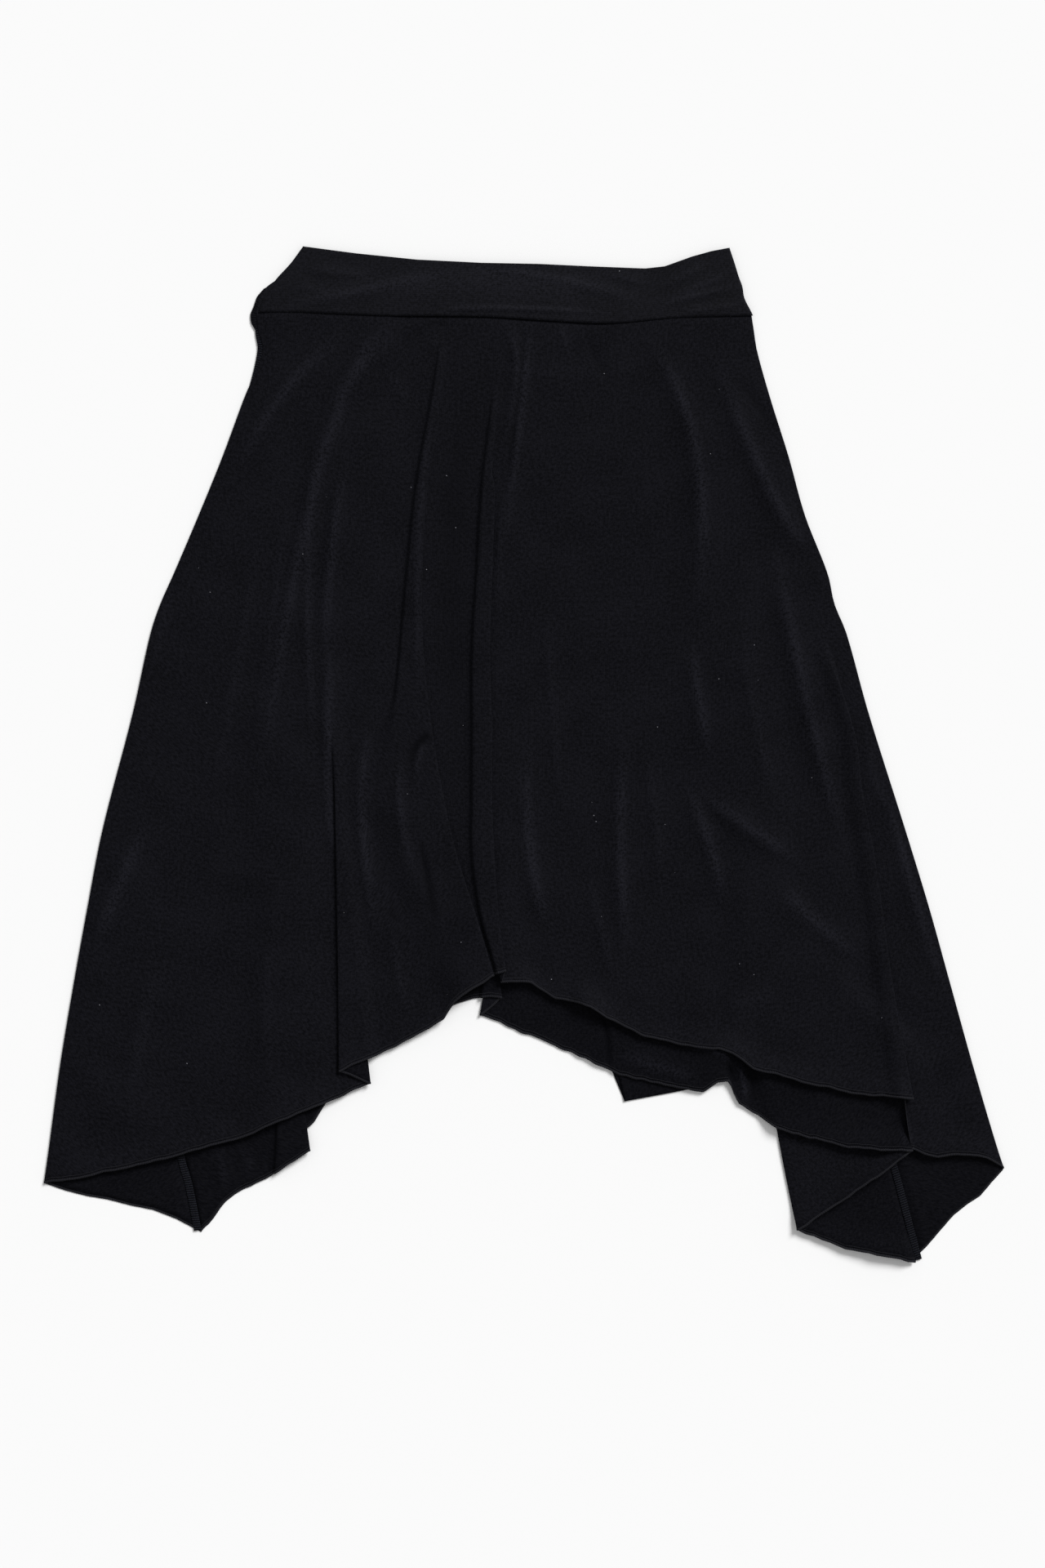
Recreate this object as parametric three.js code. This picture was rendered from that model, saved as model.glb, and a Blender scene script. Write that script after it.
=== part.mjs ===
import * as THREE from "three";

// A stretch jersey skirt with a handkerchief hem, laid flat with its front up.
// Millimetres. X runs to the right of the laid skirt, Y towards its waist, Z up from the surface under it.

// Cloth and the room between its layers
const CLOTH = 1; // wall of one layer
const BAND = 2; // wall of the doubled waistband
const SEAM_GAP = 0.3; // between pieces at a seam
const LAYER = CLOTH + 0.8; // from one layer of a fold to the next
const AIR = 0.9; // between the back panel and the front that lies on it
const STEP_WIDTH = 10; // a layer comes down over this width beside a fold that it covers
const HIDDEN_STEP = 35; // the front comes down over this width beside a fold of the back
const HIDDEN_MARGIN = 8; // and starts this far from that fold
const LEVEL_ROWS = 11; // rows of points that run level across both panels, from the waist down
const LEVEL_END = -150; // the last of them, just above the highest part of the hem
const HEM_ROWS = 5; // rows below it, spread from there to the hem
const BAND_ROWS = 5;
const BAND_COLUMNS = 30;
const STRAIGHT = 0.6; // straight cloth between the two arcs of a fold, where it is shallowest
const LEAST_TURN = 0.12 * Math.PI; // what is left of a fold above where it starts
const WIDENING = 5; // an arc is this many times wider again where its fold is a mere wave
const DEEP_TURN = 0.9 * Math.PI; // past this turn a fold gets its depth
const RIDGE_END = 0.2; // share of a soft ridge over which it fades at each end
const ABOVE_WAIST = { starts: 900, closed: 600 }; // a pleat that is closed all the way up into its seam

// The sides of the laid skirt and the seams on its underside, from the waist down
const SIDES = table(
  ["y", "left", "right", "leftSeam", "rightSeam"],
  [402, -251, 209, -237, 197],
  [389, -249, 211, -240, 199],
  [370, -240, 214, -238, 201],
  [327, -257, 226, -248, 208],
  [273, -277, 243, -262, 220],
  [219, -299, 258, -277, 230],
  [165, -322, 279, -288, 238],
  [138, -334, 285, -292, 243],
  [111, -343, 296, -295, 248],
  [39, -359, 316, -300, 262],
  [-69, -387, 350, -305, 280],
  [-141, -401, 372, -309, 291],
  [-213, -414, 392, -312, 303],
  [-285, -426, 412, -314, 316],
  [-366, -437, 436, -312, 333],
  [-397, -441.5, 447, -304, 341],
  [-466, -452, 472, -291, 359],
);

// The two pleats that start in the waist seam: the edge that shows and the fold hidden under it
const PLEATS = table(
  ["y", "oneOver", "oneUnder", "twoOver", "twoUnder"],
  [404, -64, -72, -19, -26],
  [333, -72, -82, -22, -27],
  [247, -88, -97, -26, -37],
  [163, -93, -106, -29, -42],
  [96, -92, -112, -31, -46],
  [22, -84, -117, -29, -46],
  [-41, -73, -114, -29, -46],
  [-90, -62, -103, -27, -46],
  [-147, -44, -80, -23, -38],
  [-207, -26, -56, -15, -22],
  [-297, -2, -32, -2, -10],
);

// The two flare folds of the front, which start lower down
const FLARES = table(
  ["y", "leftOver", "leftUnder", "sideOver", "sideUnder"],
  [402, -177, -177, 170, 170],
  [250, -178, -178, 224, 224],
  [93, -177, -177, 280, 280],
  [15, -176, -176, 304, 301],
  [-32, -174, -173, 310, 305],
  [-85, -173, -169, 320, 314],
  [-139, -172, -161, 328, 322],
  [-207, -171, -152, 340, 332],
  [-297, -170, -141, 356, 345],
  [-387, -168, -130, 370, 357],
);

// The three folds of the back panel, hidden but for their ends at the hem
const BACK_FOLDS = table(
  ["y", "cornerOver", "cornerUnder", "nestOver", "nestUnder", "leftOver", "leftUnder"],
  [402, 150, 150, -25, -25, -120, -120],
  [100, 190, 190, -30, -30, -190, -190],
  [-57, 212, 212, -31, -31, -216, -216],
  [-132, 215, 213, -31, -32, -217, -217],
  [-207, 246, 215, -22, -36, -214, -220],
  [-282, 306, 221, -14, -48, -207, -223],
  [-362, 353, 235, -9, -54, -196, -226],
  [-432, 374, 249, -2, -62, -185, -230],
);

// Where each fold starts as a soft wave and where it lies closed. Side 1 has its left layer on top, -1 its right.
const FRONT_FOLDS = [
  fold({ over: FLARES.leftOver, under: FLARES.leftUnder, starts: 150, closed: -60, side: -1 }),
  fold({ over: PLEATS.oneOver, under: PLEATS.oneUnder, ...ABOVE_WAIST, side: 1 }),
  fold({ over: PLEATS.twoOver, under: PLEATS.twoUnder, ...ABOVE_WAIST, side: 1 }),
  fold({ over: FLARES.sideOver, under: FLARES.sideUnder, starts: 150, closed: -60, side: 1 }),
];
const BACK_PANEL_FOLDS = [
  fold({ over: BACK_FOLDS.leftOver, under: BACK_FOLDS.leftUnder, starts: 60, closed: -220, side: 1 }),
  fold({ over: BACK_FOLDS.nestOver, under: BACK_FOLDS.nestUnder, starts: 60, closed: -200, side: 1 }),
  fold({ over: BACK_FOLDS.cornerOver, under: BACK_FOLDS.cornerUnder, starts: 220, closed: -190, side: 1 }),
];

// Edges of the pieces, as points x, y from left to right
const WAIST_SEAM = softEdge([
  [-251, 405], [-205, 405], [-128, 402], [-40, 401], [28, 397], [80, 395], [140, 400], [209, 402],
]);
const BAND_TOP = edge([
  [-203, 465.4], [-155, 459], [-98, 453], [-39, 450], [13, 449], [56, 447], [111, 445], [129, 447],
  [154, 456], [172, 461], [188, 464],
]);
const HEM = {
  leftUnder: edge([[-441, -394], [-412, -403], [-387, -408], [-340, -418], [-318, -426], [-297, -438]]),
  left: edge([
    [-441, -394], [-401, -387], [-348, -375], [-256, -350], [-225, -336], [-181, -318], [-141, -301],
  ]),
  middle: edge([
    [-170, -290], [-142, -278], [-110, -263], [-74, -243], [-66, -229], [-56, -220], [-28, -202],
  ]),
  pleatFloor: edge([[-57, -207], [-28, -201], [-15, -197]]),
  right: edge([
    [-22, -208], [7, -209], [28, -223], [61, -230], [75, -241], [108, -257], [146, -267], [178, -269],
    [190, -273], [210, -287], [253, -299], [298, -310], [326, -312], [358, -315],
  ]),
  side: edge([[353, -360], [378, -369], [397, -366], [417, -367], [426, -371], [441, -380]]),
  rightUnder: edge([
    [355, -465.4], [364, -456], [388, -430], [400, -415], [412, -410], [424, -399], [441, -380],
  ]),
  backLeft: edge([
    [-297, -438], [-288, -429], [-276, -411], [-265, -402], [-228, -384], [-211, -372], [-196, -362],
  ]),
  backMiddle: edge([
    [-225, -348], [-212, -347], [-195, -340], [-182, -319], [-168, -301], [-144, -275], [-106, -251],
    [-76, -234], [-44, -223], [-30, -222], [-16, -225],
  ]),
  backRight: edge([
    [-44, -237], [-22, -246], [25, -266], [54, -278], [88, -294], [142, -306], [164, -309], [178, -300],
    [188, -300], [194, -314], [198, -321], [215, -331], [232, -342], [262, -351], [297, -359], [355, -363],
  ]),
  backCorner: edge([[249, -435], [274, -445], [297, -453], [336, -460], [355, -465.4]]),
};
const BAND_SIDES = table(
  ["y", "left", "right"],
  [465, -203, 188],
  [450, -214, 193],
  [437, -226, 197],
  [429, -237, 200],
  [418, -245, 202],
  [406, -248, 208],
);
const HEM_TIP = [[74, -275], [82, -294], [92, -318], [146, -308], [172, -303], [172, -275]];
const TIP_RAISES = { left: 60, right: 186, top: -235, width: 26, fade: 60, height: LAYER };
const HEM_LIFT = { x: 180, y: -275, reach: 24, height: 4 };

// Soft ridges of the front: start, middle, end, half width and height
const RIDGES = ridges([
  [[-159, 389], [-219, 333], [-268, 250], 11, 3],
  [[-103, 396], [-185, 273], [-256, -132], 12, 4],
  [[-159, 288], [-178, 175], [-182, 70], 11, 3],
  [[-178, 108], [-180, 40], [-178, -20], 10, 4],
  [[-343, -57], [-373, -125], [-395, -185], 14, 3],
  [[-140, 33], [-149, -57], [-133, -177], 12, 3.5],
  [[5, 397], [-5, 303], [-20, 175], 10, 2.5],
  [[104, 393], [158, 273], [154, 108], 13, 4],
  [[154, 108], [160, 48], [172, -9], 12, 3.5],
  [[164, 393], [224, 243], [261, 190], 13, 4],
  [[227, 205], [257, 55], [298, -102], 13, 4],
  [[156, -31], [201, -65], [265, -106], 13, 4],
  [[92, 33], [88, -87], [96, -200], 12, 3.5],
  [[145, -20], [171, -87], [182, -140], 13, 3],
  [[2, 25], [6, -95], [28, -170], 12, 3],
  [[231, -117], [268, -155], [314, -192], 14, 3],
]);

// The waistband's own folds: a low lens across its middle and creases that spread from its right end
const BAND_RIDGES = ridges([
  [[-140, 412], [-60, 438], [20, 418], 12, 3],
  [[-20, 440], [40, 425], [110, 412], 10, 2.5],
  [[120, 420], [160, 436], [190, 446], 8, 3],
  [[130, 412], [165, 418], [202, 420], 7, 2.5],
  [[-215, 440], [-190, 425], [-150, 416], 10, 2.5],
]);

const JERSEY = { color: 0x141419, roughness: 0.9, metalness: 0 };
const JERSEY_INSIDE = { color: 0x111115, roughness: 0.95, metalness: 0 };

// Named columns of a table as curves over its first column, y
function table(names, ...rows) {
  const stations = rows.map((row) => row[0]);
  return Object.fromEntries(
    names.slice(1).map((name, i) => [name, curve(stations, rows.map((row) => row[i + 1]))]),
  );
}

// An edge given by points from left to right, as y over x
function edge(points) {
  return { left: points[0][0], right: points.at(-1)[0], at: broken(points) };
}

// The same as a smooth line
function softEdge(points) {
  const falling = points.toReversed();
  const at = curve(falling.map((p) => p[0]), falling.map((p) => p[1]));
  return { left: points[0][0], right: points.at(-1)[0], at };
}

// Straight lines through points, held level past the ends
function broken(points) {
  return (x) => {
    if (x <= points[0][0]) return points[0][1];
    const i = points.findIndex((p) => p[0] >= x);
    if (i < 0) return points.at(-1)[1];
    const [a, b] = [points[i - 1], points[i]];
    return a[1] + ((b[1] - a[1]) * (x - a[0])) / (b[0] - a[0]);
  };
}

// A smooth curve through values at falling stations, straight past the ends
function curve(at, values) {
  const slope = at.map((_, i) => {
    const a = Math.max(i - 1, 0);
    const b = Math.min(i + 1, at.length - 1);
    return (values[b] - values[a]) / (at[b] - at[a]);
  });
  const last = at.length - 1;
  return (y) => {
    if (y >= at[0]) return values[0] + slope[0] * (y - at[0]);
    if (y <= at[last]) return values[last] + slope[last] * (y - at[last]);
    const i = at.findIndex((s) => s <= y);
    const span = at[i] - at[i - 1];
    const t = (y - at[i - 1]) / span;
    return (
      values[i - 1] * (1 + 2 * t) * (1 - t) ** 2 +
      slope[i - 1] * span * t * (1 - t) ** 2 +
      values[i] * t * t * (3 - 2 * t) +
      slope[i] * span * t * t * (t - 1)
    );
  };
}

function smooth(t) {
  const s = THREE.MathUtils.clamp(t, 0, 1);
  return s * s * (3 - 2 * s);
}

// A Z-shaped fold: an arc, a straight stretch back under and an arc the other way. Its turn grows from a soft
// wave to half a circle, so that the fold fades out upwards.
function fold({ over, under, starts, closed, side }) {
  const turn = (y) => LEAST_TURN + (Math.PI - LEAST_TURN) * smooth((starts - y) / (starts - closed));
  const radius = (y) => (LAYER / 2) * (1 + WIDENING * ((1 + Math.cos(turn(y))) / 2) ** 4);
  const back = (y) => {
    const depth = side * (over(y) - under(y)) - 2 * radius(y) - CLOTH - STRAIGHT;
    return STRAIGHT + Math.max(depth, 0) * smooth((turn(y) - DEEP_TURN) / (Math.PI - DEEP_TURN));
  };
  const shift = (y) => (2 * radius(y) * Math.sin(turn(y)) + back(y) * Math.cos(turn(y))) / 2;
  const centre = (y) => (over(y) + under(y)) / 2;
  const topEnd = (y) => centre(y) - side * shift(y);
  const lowEnd = (y) => centre(y) + side * shift(y);
  const drop = (y) => 2 * radius(y) * (1 - Math.cos(turn(y))) + STRAIGHT * Math.sin(turn(y));
  // Where the upper layer starts to come down beside the fold
  const brink = (y) => side * Math.min(side * under(y), side * topEnd(y)) - side * SEAM_GAP;
  const rise = (x, y) => drop(y) * smooth(1 - (side * (brink(y) - x)) / STEP_WIDTH);
  // Places from the upper layer to the lower one: shares of the first arc, the straight and the second arc
  const places = [[0.5, 0, 0], [1, 0, 0], [1, 0.5, 0], [1, 1, 0], [1, 1, 0.5]];
  const points = places.map(([first, straight, second]) => (y) => {
    const [r, full, m] = [radius(y), turn(y), back(y) * straight];
    const angle = full * (first - second);
    let x = r * Math.sin(full * first) + m * Math.cos(full);
    let z = drop(y) - r * (1 - Math.cos(full * first)) - STRAIGHT * straight * Math.sin(full);
    if (second) {
      x += r * (Math.sin(full) - Math.sin(angle));
      z -= r * (Math.cos(angle) - Math.cos(full));
    }
    return { x: topEnd(y) + side * x, z, angle: side * angle };
  });
  if (side < 0) points.reverse();
  return { over, under, side, topEnd, lowEnd, drop, brink, rise, points };
}

// Each ridge as short straight pieces of the parabola through its three points
function ridges(rows) {
  const pieces = 6;
  return rows.map(([start, middle, end, reach, height]) => {
    const line = Array.from({ length: pieces + 1 }, (_, i) => {
      const t = i / pieces;
      const weights = [(1 - t) * (1 - 2 * t), 4 * t * (1 - t), t * (2 * t - 1)];
      return [0, 1].map((k) => weights[0] * start[k] + weights[1] * middle[k] + weights[2] * end[k]);
    });
    return { line, reach, height };
  });
}

// Height of the highest ridge at a place. A ridge is a bell across its line and fades at both ends.
function ridgeHeight(rows, x, y) {
  return rows.reduce((highest, { line, reach, height }) => {
    let nearest = Infinity;
    let along = 0;
    for (let i = 0; i + 1 < line.length; i++) {
      const [[px, py], [qx, qy]] = [line[i], line[i + 1]];
      const share = ((x - px) * (qx - px) + (y - py) * (qy - py)) / ((qx - px) ** 2 + (qy - py) ** 2);
      const u = THREE.MathUtils.clamp(share, 0, 1);
      const away = Math.hypot(x - px - u * (qx - px), y - py - u * (qy - py));
      if (away < nearest) {
        nearest = away;
        along = (i + u) / (line.length - 1);
      }
    }
    const ends = smooth(along / RIDGE_END) * smooth((1 - along) / RIDGE_END);
    return Math.max(highest, height * ends * Math.exp(-((nearest / reach) ** 2)));
  }, 0);
}

// What lifts both panels where the hem tip lies under them and where the hem arches up
function hemRise(x, y) {
  const t = TIP_RAISES;
  const across = smooth(1 - (t.left - x) / t.width) * smooth(1 - (x - t.right) / t.width);
  const up = smooth(1 - (y - t.top) / t.fade);
  const lift = Math.exp(-(((x - HEM_LIFT.x) ** 2 + (y - HEM_LIFT.y) ** 2) / HEM_LIFT.reach ** 2));
  return t.height * across * up + HEM_LIFT.height * lift;
}

// What the folds of the back lift the front by
function foldsBelow(x, y) {
  return BACK_PANEL_FOLDS.reduce((height, f) => {
    const lower = y - HIDDEN_STEP / 2;
    const fromLeft = smooth(1 - (f.under(y) - HIDDEN_MARGIN - x) / HIDDEN_STEP);
    const fromRight = smooth(1 - (x - f.over(y) - HIDDEN_MARGIN) / HIDDEN_STEP);
    return height + f.drop(lower) * fromLeft * fromRight;
  }, 0);
}

// A column of a wall: x over y, height of the cloth's middle, how far the cloth is turned, and where it ends
function column({ x, z, angle = () => 0, hem }) {
  return { x, z, angle, hem };
}

// The level where a column meets an edge, found by going back and forth between the two
function meet(x, line, start) {
  let y = start;
  for (let i = 0; i < 30; i++) y = 0.4 * y + 0.6 * line.at(x(y));
  return y;
}

// Columns of a stretch of cloth between two groups of fixed columns, evenly spread
function stretch(left, right, between, z, hem) {
  const from = left.at(-1);
  const to = right[0];
  const spread = Array.from({ length: between }, (_, i) => {
    const t = (i + 1) / (between + 1);
    return (y) => from(y) * (1 - t) + to(y) * t;
  });
  return [...left, ...spread, ...right].map((x) => column({ x, z, hem: meet(x, hem, hem.at(x(-250))) }));
}

// The fixed columns where a layer comes down beside a fold that it covers
function shoulder(f) {
  const down = [1, 0.5, 0].map((share) => (y) => f.brink(y) - f.side * share * STEP_WIDTH);
  return f.side > 0 ? [...down, f.topEnd] : [f.topEnd, ...down.reverse()];
}

// Columns of a fold between the last column of one stretch and the first of the next
function foldColumns(f, z, before, after) {
  return f.points.map((point, i) => {
    const share = [0, 0, 0.5, 1, 1][i];
    return column({
      x: (y) => point(y).x,
      z: (x, y) => z(x, y) + point(y).z,
      angle: (y) => point(y).angle,
      hem: before.hem * (1 - share) + after.hem * share,
    });
  });
}

// Half a turn at a side, from the upper layer to the one on the surface
function sideTurn(line, outwards, drop, hem) {
  const r = drop / 2;
  const end = (y) => line(y) - outwards * (r + CLOTH / 2);
  const turned = [0.25, 0.5, 0.75].map((share) => {
    const angle = Math.PI * share;
    return column({
      x: (y) => end(y) + outwards * r * Math.sin(angle),
      z: () => CLOTH / 2 + drop - r * (1 - Math.cos(angle)),
      angle: () => outwards * angle,
      hem,
    });
  });
  return { end, turned };
}

// Levels from one end to the other in equal steps
function steps(from, to, count) {
  return Array.from({ length: count }, (_, j) => from + ((to - from) * j) / (count - 1));
}

// The rows of a panel in one column
function panelRows(top, hem) {
  return [...steps(top, LEVEL_END, LEVEL_ROWS), ...steps(LEVEL_END, hem, HEM_ROWS + 1).slice(1)];
}

// A closed wall through columns and rows. Its two faces stand half the cloth to each side of the middle.
function wall(columns, rowsOf, thickness, topLine, gap) {
  const [upper, lower] = [[], []];
  let rows = 0;
  for (const c of columns) {
    const levels = rowsOf(meet(c.x, topLine, topLine.at(c.x(400))) - gap, c.hem);
    rows = levels.length;
    for (const y of levels) {
      const x = c.x(y);
      const z = c.z(x, y);
      const angle = c.angle(y);
      const [nx, nz] = [(Math.sin(angle) * thickness) / 2, (Math.cos(angle) * thickness) / 2];
      upper.push(x + nx, y, z + nz);
      lower.push(x - nx, y, z - nz);
    }
  }
  return closed(upper, lower, columns.length, rows);
}

// Two grids of points joined round their four edges into one closed body
function closed(upper, lower, across, down) {
  const under = across * down;
  const at = (i, j) => i * down + j;
  const faces = [];
  const quad = (a, b, c, d) => faces.push(a, b, c, a, c, d);
  for (let i = 0; i + 1 < across; i++) {
    for (let j = 0; j + 1 < down; j++) {
      const [a, b, c, d] = [at(i, j), at(i, j + 1), at(i + 1, j + 1), at(i + 1, j)];
      quad(a, b, c, d);
      quad(a + under, d + under, c + under, b + under);
    }
    const [hemA, hemB] = [at(i, down - 1), at(i + 1, down - 1)];
    const [topA, topB] = [at(i, 0), at(i + 1, 0)];
    quad(hemA, hemA + under, hemB + under, hemB);
    quad(topA, topB, topB + under, topA + under);
  }
  for (let j = 0; j + 1 < down; j++) {
    const [a, b] = [at(0, j), at(0, j + 1)];
    const [c, d] = [at(across - 1, j), at(across - 1, j + 1)];
    quad(a, a + under, b + under, b);
    quad(c, d, d + under, c + under);
  }
  const geometry = new THREE.BufferGeometry();
  geometry.setAttribute("position", new THREE.Float32BufferAttribute([...upper, ...lower], 3));
  geometry.setIndex(faces);
  geometry.computeVertexNormals();
  return geometry;
}

function piece(name, geometry, finish) {
  const mesh = new THREE.Mesh(geometry, new THREE.MeshStandardMaterial(finish));
  mesh.name = name;
  return mesh;
}

// Front panel: from its seam under the left side over the front and its folds to its seam under the right
function frontPanel() {
  const drop = CLOTH + AIR;
  const flat = () => CLOTH / 2;
  const laid = (x, y) => CLOTH / 2 + drop + hemRise(x, y) + foldsBelow(x, y) + ridgeHeight(RIDGES, x, y);
  const [flare, one, two, side] = FRONT_FOLDS;
  // A stretch is lifted by each fold that it lies on top of
  const over = (...folds) => (x, y) => folds.reduce((z, f) => z + f.rise(x, y), laid(x, y));
  const left = sideTurn(SIDES.left, -1, drop, HEM.left.at(HEM.left.left));
  const right = sideTurn(SIDES.right, 1, drop, HEM.side.at(HEM.side.right));
  const inset = (line, amount) => (y) => line(y) + amount;
  const eased = (z) => (x, y) => {
    const leftShare = smooth((x - left.end(y)) / STEP_WIDTH);
    const rightShare = smooth((right.end(y) - x) / STEP_WIDTH);
    const level = CLOTH / 2 + drop;
    return level + (z(x, y) - level) * leftShare * rightShare;
  };
  const seam = SEAM_GAP / 2;
  const leftUnder = stretch([left.end], [inset(SIDES.leftSeam, -seam)], 2, flat, HEM.leftUnder).reverse();
  const leftTop = stretch([left.end, inset(left.end, STEP_WIDTH)], [flare.lowEnd], 9, eased(laid), HEM.left);
  const middle = stretch(shoulder(flare), shoulder(one), 6, eased(over(flare, one, two)), HEM.middle);
  const floor = stretch([one.lowEnd], shoulder(two), 1, eased(over(two)), HEM.pleatFloor);
  const wide = stretch([two.lowEnd], shoulder(side), 17, eased(over(side)), HEM.right);
  const sideTop = stretch([side.lowEnd], [right.end], 3, eased(laid), HEM.side);
  const rightUnder = stretch([inset(SIDES.rightSeam, seam)], [right.end], 2, flat, HEM.rightUnder).reverse();
  const columns = [
    ...leftUnder.map((c) => ({ ...c, angle: () => -Math.PI })),
    ...left.turned.reverse(),
    ...leftTop,
    ...foldColumns(flare, laid, leftTop.at(-1), middle[0]),
    ...middle,
    ...foldColumns(one, over(two), middle.at(-1), floor[0]),
    ...floor,
    ...foldColumns(two, laid, floor.at(-1), wide[0]),
    ...wide,
    ...foldColumns(side, laid, wide.at(-1), sideTop[0]),
    ...sideTop,
    ...right.turned,
    ...rightUnder.map((c) => ({ ...c, angle: () => Math.PI })),
  ];
  return wall(columns, panelRows, CLOTH, WAIST_SEAM, SEAM_GAP);
}

// Back panel: from the left seam to the right one, wrong side up, with three folds that grow towards the hem
function backPanel() {
  const laid = (x, y) => CLOTH / 2 + hemRise(x, y);
  const [left, nest, corner] = BACK_PANEL_FOLDS;
  const over = (...folds) => (x, y) => folds.reduce((z, f) => z + f.rise(x, y), laid(x, y));
  const seam = SEAM_GAP / 2;
  const from = (y) => SIDES.leftSeam(y) + seam;
  const to = (y) => SIDES.rightSeam(y) - seam;
  const leftPart = stretch([from], shoulder(left), 3, over(left, nest, corner), HEM.backLeft);
  const middle = stretch([left.lowEnd], shoulder(nest), 9, over(nest, corner), HEM.backMiddle);
  const wide = stretch([nest.lowEnd], shoulder(corner), 12, over(corner), HEM.backRight);
  const end = stretch([corner.lowEnd], [to], 3, laid, HEM.backCorner);
  const columns = [
    ...leftPart,
    ...foldColumns(left, over(nest, corner), leftPart.at(-1), middle[0]),
    ...middle,
    ...foldColumns(nest, over(corner), middle.at(-1), wide[0]),
    ...wide,
    ...foldColumns(corner, laid, wide.at(-1), end[0]),
    ...end,
  ];
  return wall(columns, panelRows, CLOTH, WAIST_SEAM, SEAM_GAP);
}

// One side of the waistband: a doubled wall from the waist seam to its folded top, drawn in by inset
function band(level, inset, ridges) {
  const columns = Array.from({ length: BAND_COLUMNS }, (_, i) => {
    const t = i / (BAND_COLUMNS - 1);
    const x = (y) => (BAND_SIDES.left(y) + inset) * (1 - t) + (BAND_SIDES.right(y) - inset) * t;
    const z = (px, y) => level + BAND / 2 + ridgeHeight(ridges, px, y);
    return column({ x, z, hem: meet(x, WAIST_SEAM, 403) });
  });
  const bandRows = (top, seam) => steps(top, seam, BAND_ROWS);
  return wall(columns, bandRows, BAND, { at: (x) => BAND_TOP.at(x) - inset }, 0);
}

// The corner of the back hem that is turned under, flat on the surface
function hemTip() {
  const shape = new THREE.Shape(HEM_TIP.map(([x, y]) => new THREE.Vector2(x, y)));
  return new THREE.ExtrudeGeometry(shape, { depth: CLOTH, bevelEnabled: false });
}

const skirt = new THREE.Group();
skirt.add(
  piece("back_panel", backPanel(), JERSEY_INSIDE),
  piece("back_hem_tip", hemTip(), JERSEY),
  piece("front_panel", frontPanel(), JERSEY),
  piece("waistband_back", band(0, 1, []), JERSEY),
  piece("waistband_front", band(BAND + SEAM_GAP, 0, BAND_RIDGES), JERSEY),
);

export default skirt;
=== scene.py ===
"""A stretch jersey skirt laid flat with its front up, as a Blender add-on that is run as a script."""

from dataclasses import dataclass
from typing import Callable

import bpy
import numpy as np
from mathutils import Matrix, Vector


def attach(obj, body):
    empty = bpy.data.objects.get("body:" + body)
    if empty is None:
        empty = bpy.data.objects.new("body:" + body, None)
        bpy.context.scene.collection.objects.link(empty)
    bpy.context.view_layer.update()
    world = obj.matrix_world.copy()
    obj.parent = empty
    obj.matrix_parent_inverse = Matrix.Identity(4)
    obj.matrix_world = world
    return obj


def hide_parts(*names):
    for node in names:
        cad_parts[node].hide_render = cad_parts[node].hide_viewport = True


bl_info = {
    "name": "Flat-laid jersey skirt",
    "version": (1, 0, 0),
    "blender": (4, 5, 0),
    "location": "3D View > Sidebar > Skirt",
    "description": "Dresses the solids of a flat-laid jersey skirt with fine cloth, hems, seams and light",
    "category": "Object",
}

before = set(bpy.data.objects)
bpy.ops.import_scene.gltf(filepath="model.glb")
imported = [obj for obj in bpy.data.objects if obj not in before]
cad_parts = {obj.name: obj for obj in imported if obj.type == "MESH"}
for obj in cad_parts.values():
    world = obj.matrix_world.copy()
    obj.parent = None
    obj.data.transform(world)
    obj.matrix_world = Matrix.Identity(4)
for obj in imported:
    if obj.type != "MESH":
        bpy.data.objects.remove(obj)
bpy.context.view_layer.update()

# Shapes are worked out in millimetres, in the frame of the solids, and become metres where a mesh is made
MM = 0.001

# Room between the layers of the laid cloth, as the solids have it
WALL = 1.0  # wall of one solid layer
LAYER = 1.8  # from one layer of a fold to the next
AIR = 0.9  # between the back panel and the front that lies on it
BAND_WALL = 2.0
SEAM_GAP = 0.3
SIDE_STEP = 10  # the folds and ridges fade out over this width beside the laid sides

# A fold fades out upwards: its turn shrinks to LEAST_TURN, and its arcs grow by up to WIDENING times
STRAIGHT = 0.6  # least length between its two arcs
LEAST_TURN = 0.02 * np.pi
WIDENING = 5
DEEP_TURN = 0.9 * np.pi  # from this turn on it runs back under itself
LOOSE_FROM = 70  # a loose fold's step widens from this level
LOOSE_OVER = 110  # to its full width this far below
HIDDEN_STEP = 35  # the front settles beside a fold of the back over this width
HIDDEN_MARGIN = 8

# Rows and columns of the fine surfaces
SEAM_ROWS = 5  # close rows below the waist seam, down to SEAM_DEPTH
SEAM_DEPTH = 7.0
UPPER_ROWS = 46  # rows from there to HOOK_TOP
HOOK_TOP = 22.0
HOOK_ROWS = 13  # close rows where the first pleat has its hooked crease, down to HOOK_END
HOOK_END = -22.0
LOWER_ROWS = 20  # rows from there to LEVEL_END
LEVEL_END = -150.0
HEM_ROWS = 36  # rows from there to the hem
ARC_COLUMNS = 5  # across each arc of a fold
STEP_COLUMNS = 5  # where a layer comes down beside a fold that it covers
FLARE_STEP = 14.0  # the flare folds come down this gently, in mm
TUCK = 1.2  # how far the panels reach under the waistbands, in mm
CLOTH_LOWEST = 0.4  # no trough of the back panel goes lower than this, so that the floor stays under it
HEM_NIBBLE = 0.9  # height of the hem's own unevenness along its length

# Where a column meets an edge is found in rounds, each of which moves this share of the way
WAIST_GUESS = 400.0
HEM_GUESS = -250.0
MEET_ROUNDS = 30
MEET_SHARE = 0.6

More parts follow.
